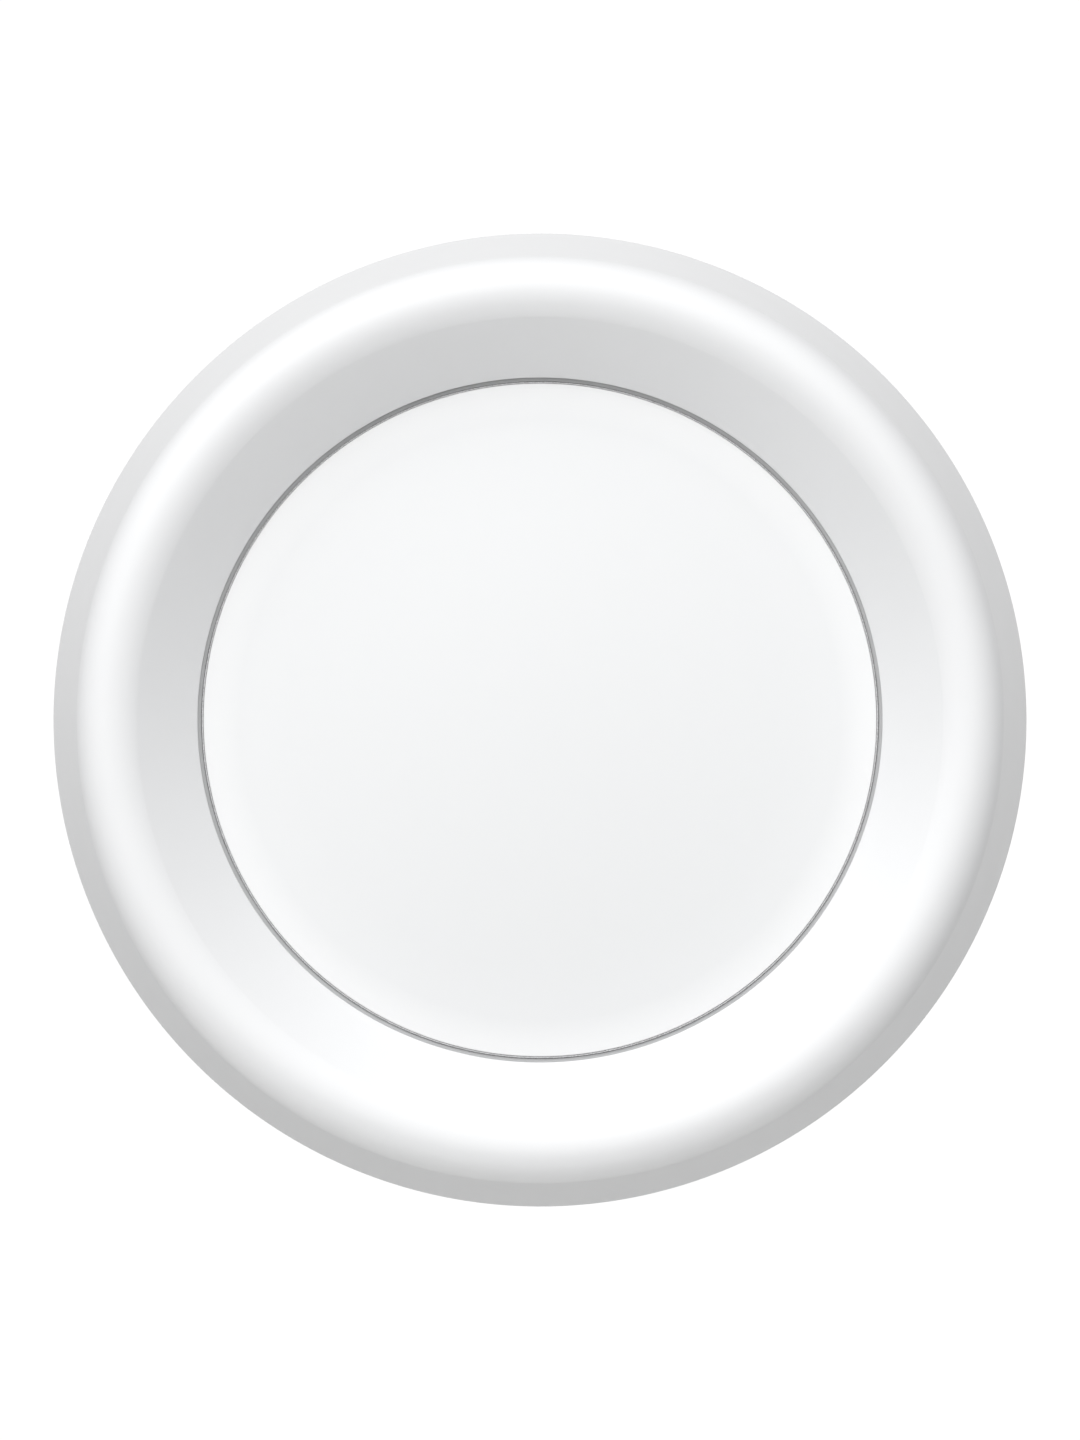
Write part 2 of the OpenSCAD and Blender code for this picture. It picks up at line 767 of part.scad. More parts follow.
rib_outline = [
    [hub_r - 0.2, hub_z + 1.6], [hub_r - 0.2, lip_z - 0.4], [cavity_top_r + 0.3, lip_z],
    [cavity_top_r + 0.3 + skirt_slope * (lip_z - hub_z - 1.6), hub_z + 1.6]
];

module dial_ring() {
    color("white") on_wall() union() {
        rotate_extrude() difference() {
            polygon(ring_outline);
            polygon(ring_cavity);
        }
        for (i = [1:ring_ribs]) rotate(i * 360 / ring_ribs) leaf(rib_outline, 1.2);
    }
}

module retaining_ring() {
    color("silver") on_wall() difference() {
        band(30.4, 32 - 0.05, groove_z, groove_top_z);
        rotate(200) translate([30, -2, 0]) cube([3, 4, total_depth]);
        for (a = [-1, 1]) rotate(200 + 5.5 * a) translate([31.1, 0, 0]) rod(0.4, 0, total_depth, $fn = 24);
    }
}

module encoder_ring() {
    color("black") on_wall() difference() {
        band(30.6, 33, hub_z - 0.5, hub_z);
        for (i = [1:encoder_slots]) rotate(i * 360 / encoder_slots) block(31.6, 0, 1.4, 1.2, 0, total_depth);
    }
}

// ---------------------------------------------------------------- nodes

base_plate();
base_board();
base_cover();
cover_screws();
base_parts();
terminal_block_left();
terminal_block_right();
contact_bars();
clamp_springs();
lever_1();
lever_2();
lever_3();
lever_4();
lever_5();
lever_6();
base_socket();
socket_contacts();
level_vial();
level_liquid();
latch_springs();
rear_cover();
rear_screws();
mid_frame();
main_board();
board_plug();
plug_pins();
usb_port();
battery();
battery_pad();
battery_leads();
processor();
memory_chip();
shield_can();
power_parts();
buzzer_plate();
buzzer_disc();
climate_sensor();
ring_sensor();
flex_socket();
switch_body();
switch_dome();
switch_plunger();
return_springs();
display_chassis();
guide_screws();
backlight();
display_panel();
panel_holder();
light_sensor();
display_flex();
lens_gasket();
lens();
ring_bearing();
dial_ring();
retaining_ring();
encoder_ring();
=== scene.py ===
import json
import math
import random

import bmesh
import bpy
from mathutils import Matrix, Vector
from mathutils.geometry import tessellate_polygon

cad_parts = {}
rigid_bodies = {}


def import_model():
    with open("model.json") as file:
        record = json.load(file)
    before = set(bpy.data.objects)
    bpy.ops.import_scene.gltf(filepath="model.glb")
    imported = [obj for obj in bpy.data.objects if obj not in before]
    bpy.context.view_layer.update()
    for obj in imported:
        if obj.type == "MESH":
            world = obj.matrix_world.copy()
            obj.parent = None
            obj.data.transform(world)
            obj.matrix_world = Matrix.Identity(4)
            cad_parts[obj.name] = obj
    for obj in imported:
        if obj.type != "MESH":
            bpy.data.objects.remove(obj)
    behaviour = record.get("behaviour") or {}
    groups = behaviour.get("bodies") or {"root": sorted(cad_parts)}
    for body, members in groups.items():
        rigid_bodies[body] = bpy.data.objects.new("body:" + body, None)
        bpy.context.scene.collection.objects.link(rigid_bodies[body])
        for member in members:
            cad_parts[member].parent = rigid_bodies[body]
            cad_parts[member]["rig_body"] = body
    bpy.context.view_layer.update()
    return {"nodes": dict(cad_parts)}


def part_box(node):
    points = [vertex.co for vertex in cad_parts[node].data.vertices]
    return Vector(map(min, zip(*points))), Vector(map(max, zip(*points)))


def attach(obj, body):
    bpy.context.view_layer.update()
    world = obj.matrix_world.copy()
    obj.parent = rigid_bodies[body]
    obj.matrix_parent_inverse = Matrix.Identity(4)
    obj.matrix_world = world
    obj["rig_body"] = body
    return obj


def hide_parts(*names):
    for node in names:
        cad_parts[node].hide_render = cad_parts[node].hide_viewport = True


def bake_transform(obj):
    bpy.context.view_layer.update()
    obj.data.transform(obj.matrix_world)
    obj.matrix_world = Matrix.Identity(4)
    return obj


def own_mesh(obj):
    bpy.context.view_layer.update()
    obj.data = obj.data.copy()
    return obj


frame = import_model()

# Shapes are given in a working frame, in millimetres: x to the right, y up, z from the wall into the room.
# to_row() turns a point of that frame into the row frame, in metres.
MM = 0.001


def to_row(x, y, z):
    return Vector((x * MM, -z * MM, y * MM))


def levels(node):
    """The lowest and highest z of a CAD node in the working frame."""
    low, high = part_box(node)
    return -high.y / MM, -low.y / MM


# ------------------------------------------------------------------ camera, light and floor

CAMERA_DISTANCE = 760
LENS_MM = 225

# The studio is a tent of soft light painted in the world.
# Each lobe is a direction, how tight it is and how bright.
TENT_LEVEL = 0.078
TENT_LOBES = [
    ((0, -1, 1), 3.0, 1.728),
    ((-0.7, -1, 0.8), 3.0, 1.233),
    ((-1, -1, 0.1), 3.0, 0.138),
    ((1, -1, 0.1), 3.0, 0.207),
    ((0, 1, 0.45), 6.0, 0.358),
    ((0, 1, 0), 4.0, 0.285),
    ((-1, 1, 0.1), 4.0, 0.366),
    ((1, 1, 0.1), 4.0, 0.526),
]
BACKDROP_LEVEL = 1.05
FLOOR_Z = -1.2
FLOOR_HALF = 1.5


def add_camera():
    data = bpy.data.cameras.new("camera")
    data.lens = LENS_MM
    data.sensor_width = 36
    data.clip_start, data.clip_end = 0.05, 50
    camera = bpy.data.objects.new("camera", data)
    bpy.context.scene.collection.objects.link(camera)
    camera.location = to_row(0, 0, CAMERA_DISTANCE)
    camera.rotation_euler = (math.pi / 2, 0, 0)
    bpy.context.scene.camera = camera


def math_node(tree, operation, a, b=None, clamp=False):
    node = tree.nodes.new("ShaderNodeMath")
    node.operation, node.use_clamp = operation, clamp
    for socket, value in zip(node.inputs, (a, b)):
        if isinstance(value, (int, float)):
            socket.default_value = value
        elif value is not None:
            tree.links.new(value, socket)
    return node.outputs[0]


def add_world():
    world = bpy.data.worlds.new("tent")
    bpy.context.scene.world = world
    world.use_nodes = True
    tree = world.node_tree
    tree.nodes.clear()
    direction = tree.nodes.new("ShaderNodeTexCoord").outputs["Generated"]
    level = TENT_LEVEL
    for toward, tightness, power in TENT_LOBES:
        dot = tree.nodes.new("ShaderNodeVectorMath")
        dot.operation = "DOT_PRODUCT"
        tree.links.new(direction, dot.inputs[0])
        dot.inputs[1].default_value = Vector(toward).normalized()
        facing = math_node(tree, "MAXIMUM", dot.outputs["Value"], 0.0)
        lobe = math_node(tree, "MULTIPLY", math_node(tree, "POWER", facing, tightness), power)
        level = math_node(tree, "ADD", lobe, level)
    tent = tree.nodes.new("ShaderNodeBackground")
    tent.inputs["Color"].default_value = (1.0, 1.0, 1.0, 1.0)
    tree.links.new(level, tent.inputs["Strength"])
    backdrop = tree.nodes.new("ShaderNodeBackground")
    backdrop.inputs["Color"].default_value = (1.0, 1.0, 1.0, 1.0)
    backdrop.inputs["Strength"].default_value = BACKDROP_LEVEL
    seen = tree.nodes.new("ShaderNodeLightPath").outputs["Is Camera Ray"]
    mix = tree.nodes.new("ShaderNodeMixShader")
    tree.links.new(seen, mix.inputs[0])
    tree.links.new(tent.outputs[0], mix.inputs[1])
    tree.links.new(backdrop.outputs[0], mix.inputs[2])
    out = tree.nodes.new("ShaderNodeOutputWorld")
    tree.links.new(mix.outputs[0], out.inputs["Surface"])
    bpy.context.scene.view_settings.view_transform = "Standard"


add_camera()
add_world()

# ------------------------------------------------------------------ materials


class Look:
    """A procedural material: a Principled shader fed by textures in object space."""

    def __init__(self, name):
        self.material = bpy.data.materials.new(name)
        self.material.use_nodes = True
        self.tree = self.material.node_tree
        self.shader = self.tree.nodes["Principled BSDF"]
        self.place = self.tree.nodes.new("ShaderNodeTexCoord").outputs["Object"]

    def set(self, **values):
        for name, value in values.items():
            socket = self.shader.inputs[name.replace("_", " ")]
            if isinstance(value, tuple) and len(value) == 3:
                value = (*value, 1.0)
            socket.default_value = value
        return self

    def stretched(self, x, y, z):
        """Object coordinates stretched along the working frame's axes."""
        node = self.tree.nodes.new("ShaderNodeMapping")
        node.inputs["Scale"].default_value = (1 / x, 1 / z, 1 / y)
        self.tree.links.new(self.place, node.inputs["Vector"])
        return node.outputs[0]

    def noise(self, size_mm, detail=3.0, roughness=0.5, place=None):
        """Noise whose features are about size_mm across, as a value from 0 to 1."""
        node = self.tree.nodes.new("ShaderNodeTexNoise")
        node.inputs["Scale"].default_value = 1 / (size_mm * MM)
        node.inputs["Detail"].default_value = detail
        node.inputs["Roughness"].default_value = roughness
        self.tree.links.new(place or self.place, node.inputs["Vector"])
        return node.outputs[0]

    def cells(self, size_mm, distance="EUCLIDEAN", output="Distance", feature="F1"):
        """A Voronoi pattern whose cells are about size_mm across."""
        node = self.tree.nodes.new("ShaderNodeTexVoronoi")
        node.feature = feature
        if feature != "DISTANCE_TO_EDGE":
            node.distance = distance
        node.inputs["Scale"].default_value = 1 / (size_mm * MM)
        self.tree.links.new(self.place, node.inputs["Vector"])
        return node.outputs[output]

    def bands(self, pitch_mm, direction):
        """Evenly spaced waves across one axis of the row frame, as a value from 0 to 1."""
        node = self.tree.nodes.new("ShaderNodeTexWave")
        node.bands_direction = direction
        node.inputs["Scale"].default_value = math.pi / 10 / (pitch_mm * MM)
        self.tree.links.new(self.place, node.inputs["Vector"])
        return node.outputs["Fac"]

    def edges(self, start=0.52, end=0.6):
        """From 0 on flat faces to 1 along outer edges."""
        shape = self.tree.nodes.new("ShaderNodeNewGeometry")
        return self.ranged(shape.outputs["Pointiness"], 0, 1, start, end)

    def ranged(self, value, low, high, start=0.3, end=0.7):
        """A value between low and high as the given one goes from start to end."""
        node = self.tree.nodes.new("ShaderNodeMapRange")
        self.tree.links.new(value, node.inputs["Value"])
        for name, number in (("From Min", start), ("From Max", end), ("To Min", low), ("To Max", high)):
            node.inputs[name].default_value = number
        return node.outputs[0]

    def colours(self, value, stops):
        """A colour from a ramp of (position, colour) stops."""
        ramp = self.tree.nodes.new("ShaderNodeValToRGB")
        elements = ramp.color_ramp.elements
        while len(elements) < len(stops):
            elements.new(0.5)
        for element, (position, colour) in zip(elements, stops):
            element.position, element.color = position, (*colour, 1.0)
        self.tree.links.new(value, ramp.inputs[0])
        return ramp.outputs[0]

    def mix(self, share, first, second):
        """Two colours mixed by a share, each a socket or three numbers."""
        node = self.tree.nodes.new("ShaderNodeMix")
        node.data_type = "RGBA"
        for socket, value in zip((node.inputs[0], node.inputs[6], node.inputs[7]), (share, first, second)):
            if isinstance(value, tuple):
                socket.default_value = (*value, 1.0)
            else:
                self.tree.links.new(value, socket)
        return node.outputs[2]

    def feed(self, name, value):
        self.tree.links.new(value, self.shader.inputs[name])
        return self

    def bump(self, value, height_mm, strength=1.0):
        node = self.tree.nodes.new("ShaderNodeBump")
        node.inputs["Strength"].default_value = strength
        node.inputs["Distance"].default_value = height_mm * MM
        self.tree.links.new(value, node.inputs["Height"])
        if self.shader.inputs["Normal"].is_linked:
            self.tree.links.new(self.shader.inputs["Normal"].links[0].from_socket, node.inputs["Normal"])
        self.tree.links.new(node.outputs[0], self.shader.inputs["Normal"])
        return self


def mixed(colour, other, share):
    return tuple(a + (b - a) * share for a, b in zip(colour, other))


def plastic(name, colour, roughness=0.4, grain_mm=0.25, grain_height_mm=0.004, spread=0.04, specular=0.5,
            worn=0.0, flow_height_mm=0.004, gloss_drift=0.11):
    """Moulded plastic: slight colour drift, a fine spark-eroded grain, uneven gloss, paler worn edges and the
    faint waves that its flow into the mould leaves."""
    look = Look(name)
    drift = look.noise(14, detail=4)
    base = look.colours(drift, [(0.35, mixed(colour, (0, 0, 0), spread)), (0.65, colour)])
    if worn:
        base = look.mix(look.edges(), base, mixed(colour, (1, 1, 1), worn))
    look.feed("Base Color", base)
    gloss = look.noise(5, detail=5)
    low, high = roughness * (1 - gloss_drift), min(1.0, roughness * (1 + gloss_drift))
    look.feed("Roughness", look.ranged(gloss, low, high))
    look.bump(look.noise(grain_mm, detail=2), grain_height_mm)
    look.bump(look.noise(9, detail=1), flow_height_mm)
    return look.set(Specular_IOR_Level=specular).material


def frosted(name):
    """The lens: smooth, faintly cool white acrylic, painted paler towards its rim as painted light."""
    look = Look(name)
    rim_painted_light = look.tree.nodes.new("ShaderNodeTexGradient")
    rim_painted_light.gradient_type = "SPHERICAL"
    look.tree.links.new(look.stretched(29 * MM, 29 * MM, 1e3), rim_painted_light.inputs["Vector"])
    white = (0.79, 0.797, 0.803)
    # Painted light: the colour grows up to 42 % paler towards the rim, standing in for the brighter rim under
    # the lights.
    stops = [(0.055, mixed(white, (1, 1, 1), 0.42)), (0.08, mixed(white, (1, 1, 1), 0.33)),
             (0.15, mixed(white, (1, 1, 1), 0.05)), (0.3, white)]
    base = look.colours(rim_painted_light.outputs["Fac"], stops)
    drift = look.ranged(look.noise(14, detail=4), 0, 0.012)
    look.feed("Base Color", look.mix(drift, base, (0.6, 0.6, 0.6)))
    look.feed("Roughness", look.ranged(look.noise(5, detail=5), 0.41, 0.43))
    look.bump(look.noise(0.18, detail=2), 0.0002)
    look.bump(look.noise(9, detail=1), 0.0003)
    return look.material


def metal(name, colour, roughness=0.3, streaks=(1, 1, 1), streak_mm=0.12, tarnish=0.15, bright=0.35):
    """Plated or drawn metal: fine streaks, faint tarnish in patches and brighter worn edges."""
    look = Look(name)
    patches = look.ranged(look.noise(3.5, detail=3), 0, 1, 0.35, 0.75)
    tone = look.mix(patches, colour, mixed(colour, (0.25, 0.2, 0.16), tarnish))
    look.feed("Base Color", look.mix(look.edges(), tone, mixed(colour, (1, 1, 1), bright)))
    fine = look.noise(streak_mm, detail=4, place=look.stretched(*streaks))
    look.feed("Roughness", look.ranged(fine, roughness * 0.85, roughness * 1.2))
    look.bump(fine, 0.0003)
    return look.set(Metallic=1.0).material


def foam(name, colour, cell_mm=0.22):
    """Open-cell foam: a skin of small hollows, painted darker inside them as painted shade."""
    look = Look(name)
    pits_and_painted_shade = look.cells(cell_mm)
    # Painted shade: the colour darkens towards the low parts of the hollows.
    look.feed("Base Color", look.colours(pits_and_painted_shade, [(0.1, colour), (0.75, mixed(colour, (0, 0, 0), 0.45))]))
    look.feed("Roughness", look.ranged(look.noise(2), 0.85, 0.98))
    look.bump(pits_and_painted_shade, -0.05)
    return look.set(Specular_IOR_Level=0.25).material


def circuit(name, mask, copper):
    """A circuit board: tracks and copper fills that show through the solder mask, cell by cell."""
    look = Look(name)
    chosen = look.cells(7, distance="CHEBYCHEV", output="Color")
    across = look.ranged(look.bands(0.75, "X"), 0, 1, 0.62, 0.72)
    along = look.ranged(look.bands(0.75, "Z"), 0, 1, 0.62, 0.72)
    runs = look.mix(look.ranged(chosen, 0, 1, 0.49, 0.51), across, along)
    filled = look.mix(look.ranged(chosen, 0, 1, 0.66, 0.67), runs, (1.0, 1.0, 1.0))
    plain = look.mix(look.ranged(look.noise(9, detail=1), 0, 1, 0.42, 0.44), (0.0, 0.0, 0.0), filled)
    weave = look.ranged(look.noise(0.35, place=look.stretched(1, 3, 3)), 0, 1)
    bare = look.mix(weave, mask, mixed(mask, (0, 0, 0), 0.18))
    look.feed("Base Color", look.mix(plain, bare, copper))
    look.feed("Roughness", look.ranged(look.noise(2, detail=4), 0.29, 0.4))
    look.bump(plain, 0.02)
    return look.set(Specular_IOR_Level=0.55, Coat_Weight=0.4, Coat_Roughness=0.15).material


def clear(name, colour, roughness=0.05, ior=1.49, through=0.95):
    """Clear acrylic or liquid, with faint streaks in its gloss."""
    look = Look(name)
    drift = look.noise(4)
    look.feed("Base Color", look.colours(drift, [(0.3, mixed(colour, (1, 1, 1), 0.12)), (0.7, colour)]))
    look.feed("Roughness", look.ranged(look.noise(0.8, detail=4), roughness * 0.6, roughness * 1.6))
    look.bump(look.noise(1.5), 0.002)
    return look.set(Transmission_Weight=through, IOR=ior).material


def foil(name):
    """Aluminium laminate of a pouch cell, with soft folds that are painted darker in their low parts as
    painted shade.
    """
    look = Look(name)
    creases_and_painted_shade = look.noise(2.4, detail=3, roughness=0.4)
    # Painted shade: the raised parts of the folds are lighter and the low parts darker.
    look.feed("Base Color", look.colours(creases_and_painted_shade, [(0.3, (0.5, 0.52, 0.55)), (0.7, (0.66, 0.68, 0.7))]))
    look.feed("Roughness", look.ranged(look.noise(0.5, detail=5), 0.3, 0.48))
    look.bump(creases_and_painted_shade, 0.08)
    look.bump(look.cells(0.5), 0.006)
    return look.set(Metallic=0.85).material


def flex_sheet(name):
    """Polyimide film over fine copper tracks."""
    look = Look(name)
    tracks = look.ranged(look.bands(0.5, "X"), 0, 1, 0.45, 0.55)
    look.feed("Base Color", look.mix(tracks, (0.42, 0.17, 0.03), (0.66, 0.34, 0.1)))
    look.feed("Roughness", look.ranged(look.noise(1.2, detail=4), 0.29, 0.42))
    look.bump(tracks, 0.012)
    return look.set(Specular_IOR_Level=0.6).material


ring_white = plastic("ring_white", (0.797, 0.802, 0.81), roughness=0.3, grain_mm=0.8,
                     grain_height_mm=0.0002, spread=0.006, flow_height_mm=0.001, gloss_drift=0.05)
# Painted shade: a grey for the ring's ledge and tip beside the lens, standing in for the shade in the groove
# there.
ring_ledge_painted_shade = plastic("ring_ledge_painted_shade_grey", (0.62, 0.625, 0.63), roughness=0.35, grain_mm=0.8,
                    grain_height_mm=0.0002)
lens_frosted = frosted("lens_frosted")
shell_white = plastic("shell_white", (0.78, 0.785, 0.79), roughness=0.46, grain_mm=0.3,
                      grain_height_mm=0.012, spread=0.03)
frame_grey = plastic("frame_grey", (0.43, 0.44, 0.46), roughness=0.5, grain_mm=0.4, grain_height_mm=0.01,
                     spread=0.12, worn=0.2)
acetal = plastic("acetal_ivory", (0.78, 0.76, 0.69), roughness=0.35, grain_mm=0.6, grain_height_mm=0.003)
black_plastic = plastic("black_plastic", (0.022, 0.022, 0.024), roughness=0.5, grain_mm=0.12,
                        grain_height_mm=0.006, spread=0.3, worn=0.12)
terminal_grey = plastic("terminal_grey", (0.55, 0.57, 0.58), roughness=0.42, grain_mm=0.3,
                        grain_height_mm=0.01, spread=0.06, worn=0.25)
lever_orange = plastic("lever_orange", (0.82, 0.2, 0.022), roughness=0.38, grain_mm=0.25,
                       grain_height_mm=0.008, spread=0.1, worn=0.2)
socket_ivory = plastic("socket_ivory", (0.72, 0.68, 0.56), roughness=0.45, worn=0.2)
light_sheet = plastic("light_sheet", (0.9, 0.9, 0.9), roughness=0.33, grain_mm=0.5, grain_height_mm=0.002,
                      spread=0.02)
panel_glass = plastic("panel_glass", (0.012, 0.013, 0.015), roughness=0.06, grain_mm=3,
                      grain_height_mm=0.0005, spread=0.3, specular=0.6)
sealing_black = plastic("sealing_black", (0.012, 0.012, 0.013), roughness=0.75, worn=0.05)
lead_red = plastic("lead_red", (0.5, 0.018, 0.012), roughness=0.36, grain_mm=0.8, grain_height_mm=0.006,
                   spread=0.2)
tape_amber = plastic("tape_amber", (0.5, 0.22, 0.03), roughness=0.24, grain_mm=1.5, grain_height_mm=0.01,
                     spread=0.2)
ceramic = plastic("ceramic_white", (0.7, 0.68, 0.6), roughness=0.55, grain_mm=0.15, grain_height_mm=0.006)
part_tan = plastic("part_tan", (0.34, 0.22, 0.12), roughness=0.42, grain_mm=0.2, spread=0.2, worn=0.15)
label_film = plastic("label_film", (0.6, 0.61, 0.62), roughness=0.3, grain_mm=1.2, grain_height_mm=0.002,
                     spread=0.02)
gasket_foam = foam("gasket_foam", (0.86, 0.86, 0.87), cell_mm=0.1)
pad_foam = foam("pad_foam", (0.36, 0.32, 0.2))
board_green = circuit("board_green", (0.008, 0.075, 0.03), (0.025, 0.16, 0.055))
gold = metal("gold_plate", (0.93, 0.67, 0.3), roughness=0.2, tarnish=0.2)
brass = metal("plated_brass", (0.78, 0.6, 0.3), roughness=0.33, streaks=(6, 1, 1), tarnish=0.35)
spring_steel = metal("spring_steel", (0.66, 0.67, 0.69), roughness=0.34, streaks=(1, 8, 1), tarnish=0.15)
screw_steel = metal("screw_steel", (0.72, 0.73, 0.75), roughness=0.33, streaks=(1, 1, 6), tarnish=0.12)
tin_plate = metal("tin_plate", (0.68, 0.69, 0.7), roughness=0.34, streaks=(7, 1, 1), tarnish=0.12)
solder = metal("solder", (0.6, 0.61, 0.63), roughness=0.34, tarnish=0.2)
copper_wire = metal("copper_wire", (0.62, 0.26, 0.12), roughness=0.34, tarnish=0.3)
battery_foil = foil("battery_foil")
flex_amber = flex_sheet("flex_amber")
vial_clear = clear("vial_clear", (0.96, 0.98, 0.97))
vial_liquid = clear("vial_liquid", (0.68, 0.95, 0.1), ior=1.36, through=0.5)
bubble_air = clear("bubble_air", (0.98, 1.0, 0.98), roughness=0.02, ior=1.02)

# ------------------------------------------------------------------ shapes


def arc(centre, radius, start, end, steps):
    """Points along an arc, from one angle to another, in degrees."""
    angles = [math.radians(start + (end - start) * i / steps) for i in range(steps + 1)]
    return [(centre[0] + radius * math.cos(a), centre[1] + radius * math.sin(a)) for a in angles]


def circle(radius, x=0.0, y=0.0, steps=48):
    return arc((x, y), radius, 0, 360, steps)[:-1]


def rounded(w, h, r, x=0.0, y=0.0, steps=5):
    """The outline of a rectangle with round corners, anticlockwise."""
    points = []
    for k, (sx, sy) in enumerate(((1, 1), (-1, 1), (-1, -1), (1, -1))):
        points += arc((x + sx * (w / 2 - r), y + sy * (h / 2 - r)), r, 90 * k, 90 * k + 90, steps)
    return points


def sector(r_in, r_out, start, end, steps=10):
    """The outline of a piece of a ring between two radii and two angles, anticlockwise."""
    return arc((0, 0), r_out, start, end, steps) + arc((0, 0), r_in, end, start, steps)


def inset(outline, depth):
    """An anticlockwise outline with its sides moved inwards."""
    moved = []
    for i, (x, y) in enumerate(outline):
        (ax, ay), (bx, by) = outline[i - 1], outline[(i + 1) % len(outline)]
        u, v = Vector((x - ax, y - ay)).normalized(), Vector((bx - x, by - y)).normalized()
        inward = Vector((-u.y - v.y, u.x + v.x))
        inward *= 2 / max(inward.length_squared, 1e-6)
        moved.append((x + inward.x * depth, y + inward.y * depth))
    return moved


def turned(angle, x=0.0, y=0.0, z=0.0):
    """A place in the working frame: a point (x, y, z) turned about the axis by an angle in degrees."""
    return Matrix.Rotation(math.radians(angle), 4, "Z") @ Matrix.Translation((x, y, z))


# Turns a shape's own axis from z to the working frame's x
ALONG_X = Matrix.Rotation(math.radians(90), 4, "Y")


def link(obj):
    bpy.context.scene.collection.objects.link(obj)
    return obj


def add_piece(name, mesh, looks, body, nodes, sharp_deg=32):
    # clear() sets every face back to the first look, so the faces' looks are put back after it
    chosen = [min(face.material_index, len(looks) - 1) for face in mesh.polygons]
    mesh.materials.clear()
    for look in looks:
        mesh.materials.append(look)
    mesh.polygons.foreach_set("material_index", chosen)
    assert [face.material_index for face in mesh.polygons] == chosen, f"{name} lost the looks of its faces"
    obj = link(bpy.data.objects.new(name, mesh))
    mesh.shade_smooth()
    mesh.set_sharp_from_angle(angle=math.radians(sharp_deg))
    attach(obj, body)
    if nodes:
        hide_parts(*nodes)
    return obj


